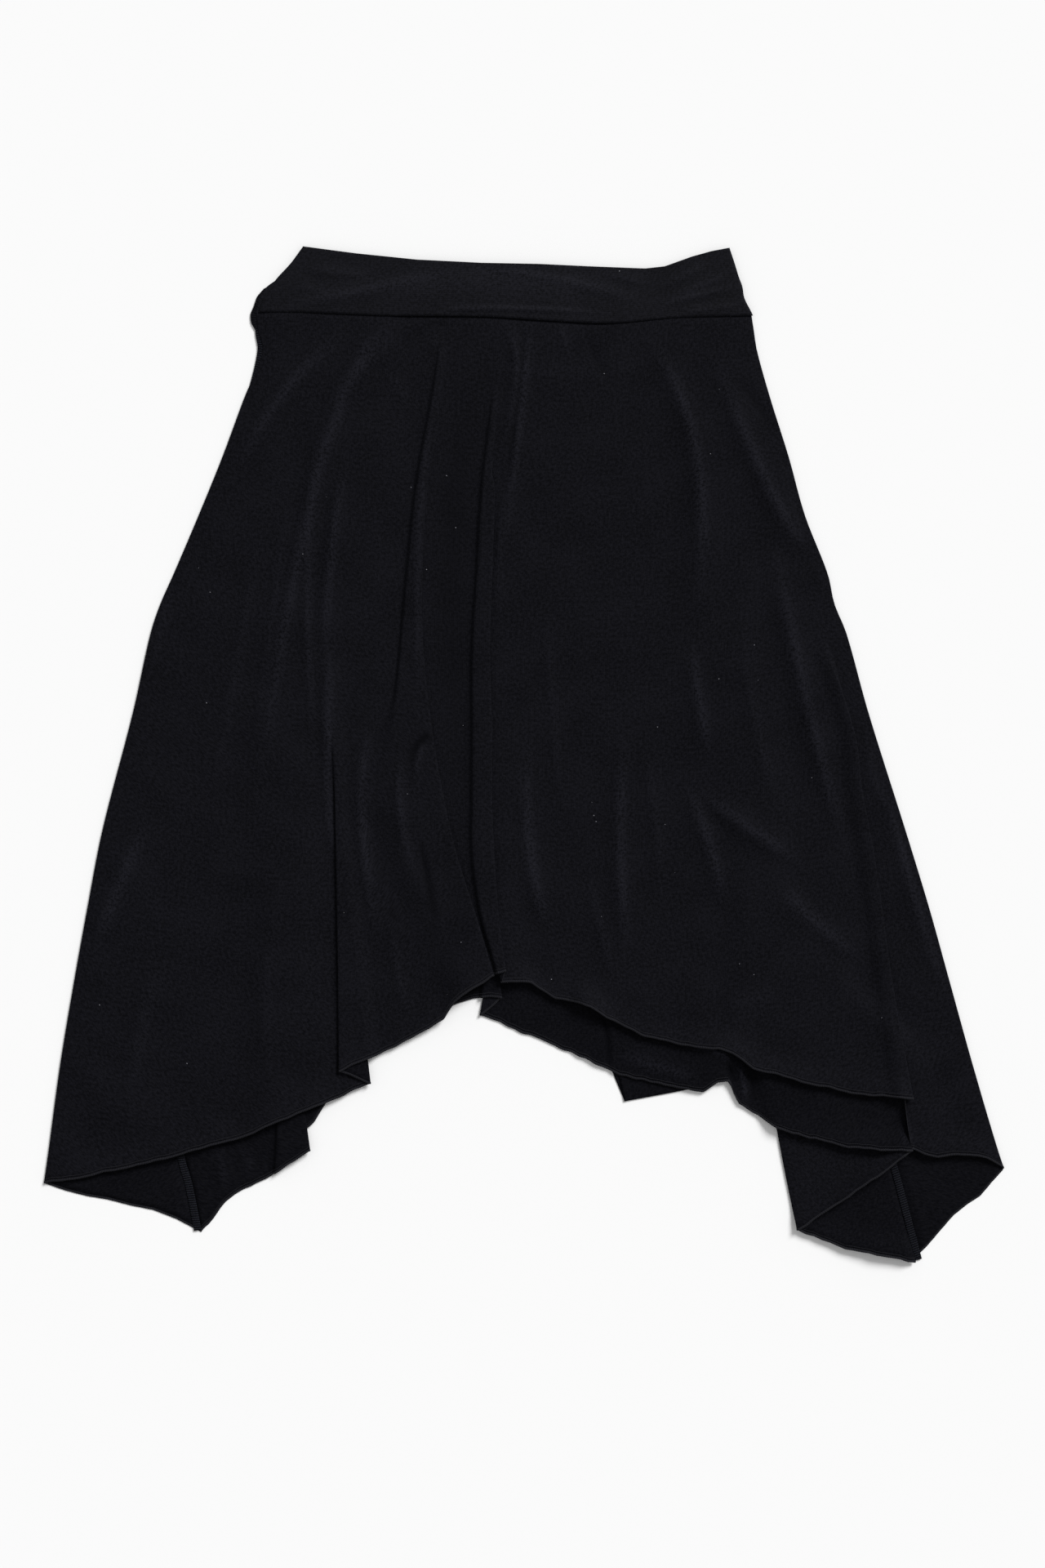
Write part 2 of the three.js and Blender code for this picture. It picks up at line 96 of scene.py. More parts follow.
# A ridge's line is walked in straight pieces, and each end fades over a share of its length. The bell on its
# crest is narrower and has a share of its height. Painted light lies over a narrower bell still: a painted
# highlight along a ridge and painted shade along a trough.
RIDGE_PIECES = 8
RIDGE_END = 0.36
RIDGE_FAR = 3  # its bell is left out past this many times its reach
CREST_WIDTH = 0.45
CREST_SHARE = 0.35
PAINTED_LIGHT_WIDTH = 0.4
PAINTED_LIGHT_LEAST_WIDTH = 3.2
PAINTED_LIGHT_FULL_HEIGHT = 3  # a ridge this high, in mm, gets the full painted highlight, and a trough this deep the full painted shade

UP = np.array([0.0, 0.0, 1.0])
ROLL_ROUND = 0.01  # the way round a roll in its UV map, in metres


def smooth(t):
    """An S-shaped step: 3t squared less 2t cubed, with t held between 0 and 1."""
    t = np.clip(t, 0.0, 1.0)
    return t * t * (3.0 - 2.0 * t)


def curve(stations, values):
    """A smooth curve through values at falling stations, straight past both ends.

    Between two stations it is the cubic whose slope at each is that of the line through its neighbours."""
    at = np.array(stations, float)[::-1]
    value = np.array(values, float)[::-1]
    before = np.maximum(np.arange(len(at)) - 1, 0)
    after = np.minimum(np.arange(len(at)) + 1, len(at) - 1)
    slope = (value[after] - value[before]) / (at[after] - at[before])

    def along(y):
        y = np.asarray(y, float)
        i = np.clip(np.searchsorted(at, y) - 1, 0, len(at) - 2)
        span = at[i + 1] - at[i]
        t = np.clip((y - at[i]) / span, 0.0, 1.0)
        inside = (
            value[i] * (1 + 2 * t) * (1 - t) ** 2
            + slope[i] * span * t * (1 - t) ** 2
            + value[i + 1] * t * t * (3 - 2 * t)
            + slope[i + 1] * span * t * t * (t - 1)
        )
        past = slope[0] * np.minimum(y - at[0], 0) + slope[-1] * np.maximum(y - at[-1], 0)
        return inside + past

    return along


def table(names, rows):
    """Named columns as curves over the first column, y."""
    columns = list(zip(*rows))
    return {name: curve(columns[0], column) for name, column in zip(names, columns[1:])}


def edge(*points):
    """Straight lines through points from left to right, as y over x, held level past both ends."""
    xs, ys = zip(*points)
    return lambda x: np.interp(x, xs, ys)


def soft_edge(*points):
    """The same as a smooth line."""
    falling = points[::-1]
    return curve([p[0] for p in falling], [p[1] for p in falling])


# The sides of the laid skirt and the seams on its underside, in mm from the waist down
SIDES = table(
    ["left", "right", "leftSeam", "rightSeam"],
    [
        (402, -246, 209, -237, 197),
        (389, -245, 211, -240, 199),
        (370, -240, 214, -238, 201),
        (327, -257, 226, -248, 208),
        (273, -277, 243, -262, 220),
        (219, -299, 258, -277, 230),
        (165, -322, 279, -288, 238),
        (138, -334, 285, -292, 243),
        (111, -343, 296, -295, 248),
        (39, -359, 316, -300, 262),
        (-69, -387, 350, -305, 280),
        (-141, -401, 372, -309, 291),
        (-213, -414, 392, -312, 303),
        (-285, -426, 412, -314, 316),
        (-366, -437, 436, -312, 333),
        (-397, -441.5, 447, -304, 341),
        (-466, -452, 472, -291, 359),
    ],
)

# The two pleats that start in the waist seam: the edge that shows and the fold hidden under it
PLEATS = table(
    ["oneOver", "oneUnder", "twoOver", "twoUnder"],
    [
        (404, -64, -72, -19, -26),
        (333, -72, -82, -22, -27),
        (247, -88, -97, -26, -37),
        (163, -93, -106, -29, -42),
        (96, -92, -112, -31, -46),
        (22, -84, -119, -29, -46),
        (-41, -73, -123, -29, -46),
        (-90, -62, -110, -27, -46),
        (-147, -44, -82, -23, -38),
        (-207, -26, -56, -15, -22),
        (-297, -2, -32, -2, -10),
    ],
)

# The two flare folds of the front, which start lower down
FLARES = table(
    ["leftOver", "leftUnder", "sideOver", "sideUnder"],
    [
        (402, -177, -177, 170, 170),
        (250, -178, -178, 224, 224),
        (93, -177, -177, 280, 280),
        (15, -176, -176, 304, 301),
        (-32, -174, -173, 310, 305),
        (-85, -173, -169, 320, 314),
        (-139, -172, -161, 328, 322),
        (-207, -171, -152, 337.5, 331),
        (-297, -170, -141, 353, 344),
        (-387, -168, -130, 370, 357),
    ],
)

# The three folds of the back panel, hidden but for their ends at the hem
BACK_FOLDS = table(
    ["cornerOver", "cornerUnder", "nestOver", "nestUnder", "leftOver", "leftUnder"],
    [
        (402, 150, 150, -25, -25, -120, -120),
        (100, 190, 190, -30, -30, -190, -190),
        (-57, 212, 212, -31, -31, -216, -216),
        (-132, 219, 213, -31, -32, -217, -217),
        (-207, 272, 215, -22, -36, -214, -220),
        (-282, 340, 221, -14, -48, -207, -223),
        (-362, 356, 235, -9, -54, -196, -226),
        (-432, 374, 249, -2, -62, -185, -230),
    ],
)

# Edges of the pieces, from left to right
WAIST_SEAM = soft_edge(
    (-251, 405), (-205, 405), (-128, 402), (-40, 401), (28, 397), (80, 395), (140, 400), (209, 402)
)
BAND_TOP = edge(
    (-203, 465.4), (-155, 459), (-98, 453), (-39, 450), (13, 449), (56, 447), (111, 445), (129, 447),
    (154, 456), (172, 461), (188, 464),
)
HEM = {
    "leftUnder": edge((-441, -394), (-412, -403), (-387, -408), (-340, -418), (-318, -426), (-297, -438)),
    "left": edge(
        (-441, -394), (-401, -387), (-348, -375), (-256, -350), (-225, -336), (-181, -318), (-141, -301)
    ),
    "middle": edge(
        (-170, -290), (-142, -278), (-110, -263), (-74, -243), (-66, -229), (-56, -220), (-28, -202)
    ),
    "pleatFloor": edge((-57, -207), (-28, -201), (-15, -197)),
    "right": edge(
        (-22, -208), (7, -209), (28, -223), (61, -230), (75, -241), (108, -257), (146, -267), (178, -269),
        (190, -273), (210, -287), (253, -299), (298, -310), (326, -312), (358, -315),
    ),
    "side": edge((353, -360), (378, -369), (397, -366), (417, -367), (426, -371), (441, -380)),
    "rightUnder": edge(
        (355, -465.4), (364, -456), (388, -430), (400, -415), (412, -410), (424, -399), (441, -380)
    ),
    "backLeft": edge(
        (-297, -438), (-288, -429), (-276, -411), (-265, -402), (-228, -384), (-211, -372), (-196, -362)
    ),
    "backMiddle": edge(
        (-225, -348), (-212, -347), (-195, -340), (-182, -319), (-168, -301), (-144, -275), (-106, -251),
        (-76, -234), (-44, -223), (-30, -222), (-16, -225),
    ),
    "backRight": edge(
        (-44, -237), (-22, -246), (25, -266), (54, -278), (88, -294), (142, -306), (164, -309), (178, -300),
        (188, -300), (194, -314), (198, -321), (215, -331), (232, -342), (262, -351), (297, -359),
        (355, -363),
    ),
    "backCorner": edge((249, -435), (274, -445), (297, -453), (336, -460), (355, -465.4)),
}
BAND_SIDES = table(
    ["left", "frontLeft", "right"],
    [
        (465, -203, -203, 188),
        (450, -214, -214, 193),
        (437, -226, -226, 197),
        (429, -237, -232, 200),
        (418, -245, -238.5, 202),
        (406, -248, -243, 208),
    ],
)

# How far the edge of the hem stands off the layer under it, in mm over x
FRONT_HEM_LIFT = edge(
    (-441, 0), (-400, 2), (-320, 4.5), (-250, 3.5), (-181, 1.5), (-141, 1), (-110, 2), (-66, 3.5), (-28, 2.5),
    (0, 3.5), (20, 2.5), (42, 3.5), (55, 9), (68, 8), (85, 3.5), (108, 3), (146, 3), (190, 3.5), (210, 6),
    (235, 4), (300, 3), (343, 5), (352, 3), (358, 1), (375, 1.5), (400, 4.5), (420, 3), (441, 0),
)
BACK_HEM_LIFT = edge(
    (-290, 0), (-228, 1.2), (-196, 2), (-150, 0.8), (-60, 0.6), (0, 0.8), (80, 0.6), (180, 0.8), (200, 1.2),
    (230, 3.5), (290, 5), (325, 8), (350, 7), (357, 3),
)
LIFT_REACH = 14  # and the height fades over this distance from the hem

# How far the panels sink beside the waist seam, in mm over x, and over what distance
SEAM_DIP = edge((-250, 0.6), (-170, 0.7), (-90, 1.4), (0, 1.5), (60, 1.2), (140, 0.7), (200, 0.6))
DIP_REACH = 3.5

# The hem tip raises both panels, which lie on it, and both hems arch up beside it
TIP_RAISES = {"left": 60, "right": 186, "top": -235, "width": 26, "fade": 60, "height": LAYER}
HEM_LIFT = {"x": 180, "y": -275, "reach": 24, "height": 4}
HEM_TIP = {"point": (92, -318), "right": (146, -308), "end": (172, -303), "top": -275, "top_left": 74}

# Soft ridges of the front: start, middle, end, half width and height, in mm. Along their crests they also
# paint a highlight.
RIDGES = [
    ((-159, 389), (-219, 333), (-268, 250), 11, 3),
    ((-103, 396), (-185, 273), (-256, -132), 12, 4),
    ((-159, 288), (-178, 175), (-182, 70), 9, 3),
    ((-178, 108), (-180, 40), (-178, -20), 10, 4),
    ((-343, -57), (-373, -125), (-395, -185), 14, 3),
    ((-140, 33), (-149, -57), (-133, -177), 12, 3.5),
    ((5, 397), (-5, 303), (-20, 175), 8, 2.5),
    ((104, 393), (158, 273), (154, 108), 13, 4),
    ((154, 108), (160, 48), (172, -9), 12, 3.5),
    ((164, 393), (224, 243), (261, 190), 13, 4),
    ((227, 205), (257, 55), (298, -102), 13, 4),
    ((156, -31), (201, -65), (265, -106), 11, 4),
    ((92, 33), (88, -87), (96, -200), 12, 3.5),
    ((145, -20), (171, -87), (182, -140), 13, 3),
    ((2, 25), (6, -95), (28, -170), 12, 3),
    ((231, -117), (268, -155), (314, -192), 14, 3),
]

# Finer creases that only the cloth has, with troughs as negative heights. They also paint a highlight along
# their crests and shade along their troughs.
CREASES = [
    ((-80, 13), (-98, 9), (-107, -22), 3.5, -3.4),
    ((-88, 3), (-97, -2), (-100, -34), 4, 2.0),
    ((-110, 0), (-114, -50), (-98, -130), 5, 2.6),
    # a broad low trough over the floor between the pleats, whose painted shade darkens that floor
    ((-50, 385), (-66, 160), (-58, -70), 40, -1.1),
    ((-76, 358), (-97, 200), (-94, 10), 8, 1.7),
    ((-98, -74), (-89, -114), (-78, -186), 3.5, -2.2),
    ((-130, 350), (-118, 340), (-104, 322), 6, 1.6),
    ((-106, 388), (-150, 353), (-192, 302), 6, 1.8),
    ((-186, 318), (-199, 150), (-188, -30), 7, 2.0),
    ((-100, 396), (-85, 383), (-68, 362), 5, 1.4),
    ((-61, 398), (-92, 388), (-130, 366), 6, -1.2),
    ((-24, 398), (-7, 355), (-26, 262), 7, 2.0),
    ((-1, 398), (-7, 318), (-27, 200), 3, -1.1),
    ((3, 396), (2, 345), (-9, 270), 4.5, 0.9),
    ((-12, 300), (-22, 200), (-24, 90), 5, 0.8),
    ((32, 396), (36, 380), (44, 356), 5, 1.0),
    ((58, 394), (66, 362), (88, 336), 8, -1.0),
    ((178, -231), (205, -225), (236, -222), 11, 0.9),
    ((194, 345), (212, 322), (232, 296), 8, -1.0),
    ((332, -27), (351, -110), (392, -237), 12, 2.0),
    ((-60, 358), (50, 352), (150, 360), 9, 0.9),
    ((-181, 70), (-180, -40), (-173, -98), 4, 2.4),
    ((-322, 162), (-334, 112), (-347, 62), 4, 1.1),
    ((-214, 250), (-232, 120), (-250, -20), 7, 1.1),
    ((-238, 230), (-262, 90), (-290, -60), 8, 0.9),
    ((20, 150), (26, 40), (36, -60), 8, 0.9),
    ((108, 20), (122, -70), (128, -150), 8, 1.0),
    ((200, 120), (214, 20), (240, -60), 9, 1.0),
    ((-330, -180), (-350, -250), (-362, -330), 13, 1.2),
    ((-230, -150), (-236, -230), (-228, -310), 12, 1.1),
    ((-120, -150), (-116, -200), (-104, -245), 8, 1.2),
    ((60, -110), (70, -160), (84, -215), 8, 1.2),
    ((316, 20), (322, -30), (342, -52), 7, 1.0),
    ((340, -232), (346, -250), (352, -262), 4, 0.9),
]

# Creases of the back panel beside its hem, where it shows below the front. They also paint a highlight along
# their crests and shade along their troughs.
BACK_CREASES = [
    ((136, -262), (173, -270), (196, -286), 6, 3.0),
    ((194, -276), (201, -300), (200, -326), 5, 2.6),
    ((80, -272), (126, -288), (164, -298), 14, 2.2),
    ((346, -270), (347, -330), (350, -400), 5, 1.0),
    ((187, -280), (189, -292), (190, -302), 4, -2.2),
    ((210, -272), (211, -300), (208, -328), 4, -2.0),
    ((72, -232), (76, -262), (78, -300), 3, -2.0),
    ((-284, -350), (-278, -380), (-272, -402), 6, 1.6),
    ((-262, -352), (-254, -372), (-246, -390), 6, 1.2),
]

# The waistband's own folds: a low lens across its middle and creases that spread from its right end. They
# also paint a highlight along their crests.
BAND_RIDGES = [
    ((-226, 410), (-140, 426), (-52, 446), 11, 2.4),
    ((-66, 446), (20, 436), (116, 414), 11, 2.4),
    ((-96, 405), (-20, 408.5), (104, 402), 5, 2.0),
    ((-190, 424), (-30, 432), (125, 424), 34, 1.8),
    ((-205, 446), (-170, 441), (-130, 437), 7, 1.4),
    ((-214, 430), (-190, 425), (-150, 420), 6, 1.0),
    ((120, 409), (158, 420), (203, 430), 5, 1.8),
    ((130, 416), (160, 428), (198, 445), 5, 1.6),
    ((118, 425), (146, 438), (170, 452), 6, 1.6),
    ((140, 404), (170, 408), (206, 413), 5, 1.4),
    ((60, 442), (90, 436), (118, 432), 7, 1.2),
]

ALLOWANCE_LEVEL = 1.42  # between the back panel and the front that lies on it

# The part of the left side seam's allowance that peeps out beside the waist
LEFT_CURL = [
    (-231, 431), (-239, 427.5), (-245.5, 420), (-248.5, 411), (-251.5, 404), (-251, 396), (-246.5, 388),
    (-241.5, 382), (-238.5, 375),
]

# Where the camera hangs, and the light that it sees by
CAMERA_OVER = (-0.0015, -0.0274)
KEY_LIGHT = {"place": (1.6, 2.0, 1.85), "angle": 0.4, "energy": 3.35}
ROOM_LIGHT = 0.44
FLOOR_HALF = 30.0


@dataclass
class Segment:
    """Neighbouring columns of a wall. x is a function of y, and z of x and y, on arrays with a row for each
    column. hem is where each column ends, and lifts is false where the hem's lift and the dip don't reach."""

    x: Callable
    z: Callable
    hem: np.ndarray
    lifts: bool = True


@dataclass
class Fold:
    """A Z-shaped fold: an arc, a straight stretch back under and an arc the other way.

    Its turn grows from a soft wave to half a circle between starts and closed, so it fades out upwards.
    Side 1 has its left layer on top, -1 its right. With late, the hem drops from one layer's level to the
    other's over the second arc alone. Near the hem the step is wider by loose, so that its edge fades out."""

    over: Callable
    under: Callable
    starts: float
    closed: float
    side: int
    step: float
    straight_columns: int
    late: bool = False
    loose: float = 0.0

    def turn(self, y):
        return LEAST_TURN + (np.pi - LEAST_TURN) * smooth((self.starts - y) / (self.starts - self.closed))

    def radius(self, y):
        return (LAYER / 2) * (1 + WIDENING * ((1 + np.cos(self.turn(y))) / 2) ** 4)

    def back(self, y):
        """How far the straight stretch runs back: the fold's depth less its arcs, once its turn is deep."""
        depth = self.side * (self.over(y) - self.under(y)) - 2 * self.radius(y) - WALL - STRAIGHT
        return STRAIGHT + np.maximum(depth, 0) * smooth((self.turn(y) - DEEP_TURN) / (np.pi - DEEP_TURN))

    def shift(self, y):
        turn = self.turn(y)
        return (2 * self.radius(y) * np.sin(turn) + self.back(y) * np.cos(turn)) / 2

    def top_end(self, y):
        return (self.over(y) + self.under(y)) / 2 - self.side * self.shift(y)

    def low_end(self, y):
        return (self.over(y) + self.under(y)) / 2 + self.side * self.shift(y)

    def drop(self, y):
        turn = self.turn(y)
        return 2 * self.radius(y) * (1 - np.cos(turn)) + STRAIGHT * np.sin(turn)

    def brink(self, y):
        """Where the upper layer starts to come down beside the fold."""
        nearest = np.minimum(self.side * self.under(y), self.side * self.top_end(y))
        return self.side * (nearest - SEAM_GAP)

    def step_at(self, y):
        return self.step + self.loose * smooth((LOOSE_FROM - y) / LOOSE_OVER)

    def shoulder(self, y):
        return self.brink(y) - self.side * self.step_at(y)

    def rise(self, x, y):
        """The fold's drop, fading over its step beside the brink."""
        return self.drop(y) * smooth(1 - self.side * (self.brink(y) - x) / self.step_at(y))

    def across(self):
        """Shares of the first arc, the straight and the second arc for each column, upper layer first."""
        arc = np.linspace(0, 1, ARC_COLUMNS + 1)[1:]
        straight = np.linspace(0, 1, self.straight_columns + 1)[1:]
        first = np.hstack([arc, np.ones(len(straight) + ARC_COLUMNS - 1)])
        middle = np.hstack([np.zeros(ARC_COLUMNS), straight, np.ones(ARC_COLUMNS - 1)])
        second = np.hstack([np.zeros(ARC_COLUMNS + len(straight)), arc[:-1]])
        return first[:, None], middle[:, None], second[:, None]

    def segment(self, z, before, after):
        """The fold's own columns between those of one stretch and the next."""
        first, middle, second = self.across()
        share = second if self.late else middle
        upper, lower = before.hem[-1], after.hem[0]
        if self.side < 0:
            upper, lower = lower, upper

        def x(y):
            r, full = self.radius(y), self.turn(y)
            out = r * np.sin(full * first) + self.back(y) * middle * np.cos(full)
            out = out + r * (np.sin(full) - np.sin(full * (1 - second)))
            return self.top_end(y) + self.side * out

        def height(px, y):
            r, full = self.radius(y), self.turn(y)
            up = self.drop(y) - r * (1 - np.cos(full * first)) - STRAIGHT * middle * np.sin(full)
            return z(px, y) + up - r * (np.cos(full * (1 - second)) - np.cos(full))

        made = Segment(x, height, upper * (1 - share) + lower * share)
        return made if self.side > 0 else backwards(made)


def meet(x, line, start):
    """The level where each column meets an edge, found by going back and forth between the two."""
    y = start
    for _ in range(MEET_ROUNDS):
        y = (1 - MEET_SHARE) * y + MEET_SHARE * line(x(y))
    return y


def stretch(left, right, columns, z, hem, lifts=True):
    """Cloth between two lines: x = left + t (right - left), with t in even steps over the columns."""
    t = np.linspace(0, 1, columns)[:, None]

    def x(y):
        return left(y) * (1 - t) + right(y) * t

    guess = hem(x(np.full((columns, 1), HEM_GUESS)))
    return Segment(x, z, meet(x, hem, guess), lifts)


def joined(*segments):
    """Segments that share a column with the one before, less the first column of each but the first."""
    kept = [segments[0]]
    for s in segments[1:]:
        kept.append(Segment(lambda y, s=s: s.x(np.vstack([y[:1], y]))[1:], s.z, s.hem[1:], s.lifts))
    return kept


def side_turn(line, outwards, drop, hem, columns=6):
    """Half a turn at a laid side: x = end + r sin, z = drop - r (1 - cos), for angles of 0 to 180 degrees."""
    r = drop / 2
    angle = (np.pi * np.linspace(0, 1, columns + 2)[1:-1])[:, None]

    def end(y):
        return line(y) - outwards * (r + WALL / 2)

    def around(y):
        return end(y) + outwards * r * np.sin(angle)

    def height(x, y):
        return WALL / 2 + drop - r * (1 - np.cos(angle)) + 0 * y

    return end, Segment(around, height, np.full((columns, 1), float(hem)), False)


def backwards(s):
    """The same columns in the other order."""
    return Segment(
        lambda y: s.x(y[::-1])[::-1],
        lambda x, y: s.z(x[::-1], y[::-1])[::-1],
        s.hem[::-1],
        s.lifts,
    )


def ridge_height(rows, x, y):
    """Height of the highest ridge at each place, less the deepest trough, and the painted light there.

    A ridge is a bell across the parabola through its three points, exp(-(distance / reach) squared), with a
    narrower bell on its crest, and fades at both ends. The painted light is the sum of narrow bells, each as
    high as its ridge's height over the height that gets the full painted light, held between -1 and 1: above
    0 it is a painted highlight and below 0 painted shade."""
    highest = np.zeros_like(x)
    deepest = np.zeros_like(x)
    nap = np.zeros_like(x)
    for start, middle, finish, reach, height in rows:
        t = np.linspace(0, 1, RIDGE_PIECES + 1)[:, None]
        a, b, c = (np.array(p, float) for p in (start, middle, finish))
        line = (1 - t) * (1 - 2 * t) * a + 4 * t * (1 - t) * b + t * (2 * t - 1) * c
        low, high = line.min(0) - RIDGE_FAR * reach, line.max(0) + RIDGE_FAR * reach
        near = (x > low[0]) & (x < high[0]) & (y > low[1]) & (y < high[1])
        px, py = x[near], y[near]
        nearest = np.full(px.shape, np.inf)
        along = np.zeros(px.shape)
        for i in range(RIDGE_PIECES):
            p, d = line[i], line[i + 1] - line[i]
            u = np.clip(((px - p[0]) * d[0] + (py - p[1]) * d[1]) / (d @ d), 0, 1)
            away = np.hypot(px - p[0] - u * d[0], py - p[1] - u * d[1])
            along = np.where(away < nearest, (i + u) / RIDGE_PIECES, along)
            nearest = np.minimum(away, nearest)
        shown = smooth(along / RIDGE_END) * smooth((1 - along) / RIDGE_END)
        wide = np.exp(-((nearest / reach) ** 2))
        crest = np.exp(-((nearest / (CREST_WIDTH * reach)) ** 2))
        bell = height * shown * ((1 - CREST_SHARE) * wide + CREST_SHARE * crest)
        highest[near] = np.maximum(highest[near], bell)
        deepest[near] = np.minimum(deepest[near], bell)
        # painted light: a narrow bell of painted highlight along a ridge's crest, and of painted shade along
        # a trough's
        painted_bell = np.exp(-((nearest / max(PAINTED_LIGHT_WIDTH * reach, PAINTED_LIGHT_LEAST_WIDTH)) ** 2))
        nap[near] += shown * painted_bell * np.clip(height / PAINTED_LIGHT_FULL_HEIGHT, -1, 1)
    return highest + deepest, np.clip(nap, -1, 1)


def waviness(x, y, seed, longest, shortest, count=14):
    """A faint unevenness, mostly between -1 and 1: sines in random directions, of lengths between the two."""
    random = np.random.default_rng(seed)
    total = np.zeros(np.broadcast(x, y).shape)
    for _ in range(count):
        heading, phase = random.uniform(0, 2 * np.pi, 2)
        length = random.uniform(shortest, longest)
        total += np.sin(2 * np.pi * (x * np.cos(heading) + y * np.sin(heading)) / length + phase)
    seldom_passed = 1.5 * np.sqrt(count)
    return total / seldom_passed


def nibble(x, seed):
    """The hem's own unevenness along its length, in mm."""
    return HEM_NIBBLE * waviness(x, 0 * x, seed, longest=44, shortest=9, count=9)


def hem_rise(x, y):
    """What lifts both panels where the hem tip lies under them and where the hem arches up."""
    t = TIP_RAISES
    across = smooth(1 - (t["left"] - x) / t["width"]) * smooth(1 - (x - t["right"]) / t["width"])
    up = smooth(1 - (y - t["top"]) / t["fade"])
    away = (x - HEM_LIFT["x"]) ** 2 + (y - HEM_LIFT["y"]) ** 2
    return t["height"] * across * up + HEM_LIFT["height"] * np.exp(-away / HEM_LIFT["reach"] ** 2)


def covered(before, fold, beside, on_top, z, hem):
    """The stretches from the line before to the fold's top end: the layer beside the fold, where it comes
    down over its step, and on top of it. beside and on_top are the columns of the first and the last."""
    lines = [before, fold.shoulder, fold.brink, fold.top_end]
    counts = [beside, STEP_COLUMNS, on_top]
    return [stretch(a, b, count, z, hem) for a, b, count in zip(lines, lines[1:], counts)]


def front_folds(step):
    """The front's folds: left flare, pleat one, pleat two and side flare. Their numbers are the levels where
    each starts and is closed, its side, its step and the columns of its straight stretch."""
    return [
        Fold(FLARES["leftOver"], FLARES["leftUnder"], 50, -100, -1, FLARE_STEP, 3),
        Fold(PLEATS["oneOver"], PLEATS["oneUnder"], 385, 300, 1, step, 5, loose=24.0),
        Fold(PLEATS["twoOver"], PLEATS["twoUnder"], 350, 235, 1, step, 3),
        Fold(FLARES["sideOver"], FLARES["sideUnder"], 115, 10, 1, FLARE_STEP, 3, late=True),
    ]


def back_folds(step):
    """The back's folds, in the same way: left, centre nest and right corner."""
    return [
        Fold(BACK_FOLDS["leftOver"], BACK_FOLDS["leftUnder"], 60, -220, 1, step, 5),
        Fold(BACK_FOLDS["nestOver"], BACK_FOLDS["nestUnder"], 60, -200, 1, step, 5),
        Fold(BACK_FOLDS["cornerOver"], BACK_FOLDS["cornerUnder"], 220, -190, 1, FLARE_STEP, 16),
    ]


def folds_below(x, y, folds):
    """What the folds of the back lift the front by: their drop, fading over HIDDEN_STEP to each side."""
    total = 0
    for f in folds:
        from_left = smooth(1 - (f.under(y) - HIDDEN_MARGIN - x) / HIDDEN_STEP)
        from_right = smooth(1 - (x - f.over(y) - HIDDEN_MARGIN) / HIDDEN_STEP)
        total = total + f.drop(y - HIDDEN_STEP / 2) * from_left * from_right
    return total


def panel_rows(top, hem):
    """Levels of a panel's rows, in even steps from each stop to the next: the waist seam, just below it, the
    hooked crease's top and end, LEVEL_END and the hem."""
    level = np.ones_like(top)
    stops = [top, top - SEAM_DEPTH, level * HOOK_TOP, level * HOOK_END, level * LEVEL_END, hem]
    counts = [SEAM_ROWS, UPPER_ROWS, HOOK_ROWS, LOWER_ROWS, HEM_ROWS]
    spans = [
        a + (b - a) * np.linspace(0, 1, count + 1)[1:] for a, b, count in zip(stops, stops[1:], counts)
    ]
    return np.hstack([top, *spans])


def surface(segments, lift, dip, seed):
    """Points of a panel, one row of the array for each column of its segments.

    The hem gets its unevenness, and its edge is lifted by lift(x), which fades over LIFT_REACH. Beside the
    waist seam the cloth sinks by dip(x), which fades over DIP_REACH."""
    points = []
    for s in segments:
        guess = np.full((len(s.hem), 1), WAIST_GUESS)
        top = meet(s.x, WAIST_SEAM, guess) + TUCK
        at_hem = s.x(s.hem)
        hem = s.hem + nibble(at_hem, seed)
        y = panel_rows(top, hem)
        x = s.x(y)
        z = s.z(x, y)
        if s.lifts:
            z = z + lift(x) * np.exp(-(((y - hem) / LIFT_REACH) ** 2))
            z = z - dip(x) * np.exp(-(((top - y) / DIP_REACH) ** 2))
        points.append(np.stack(np.broadcast_arrays(x, y, z), -1))
    return np.concatenate(points)


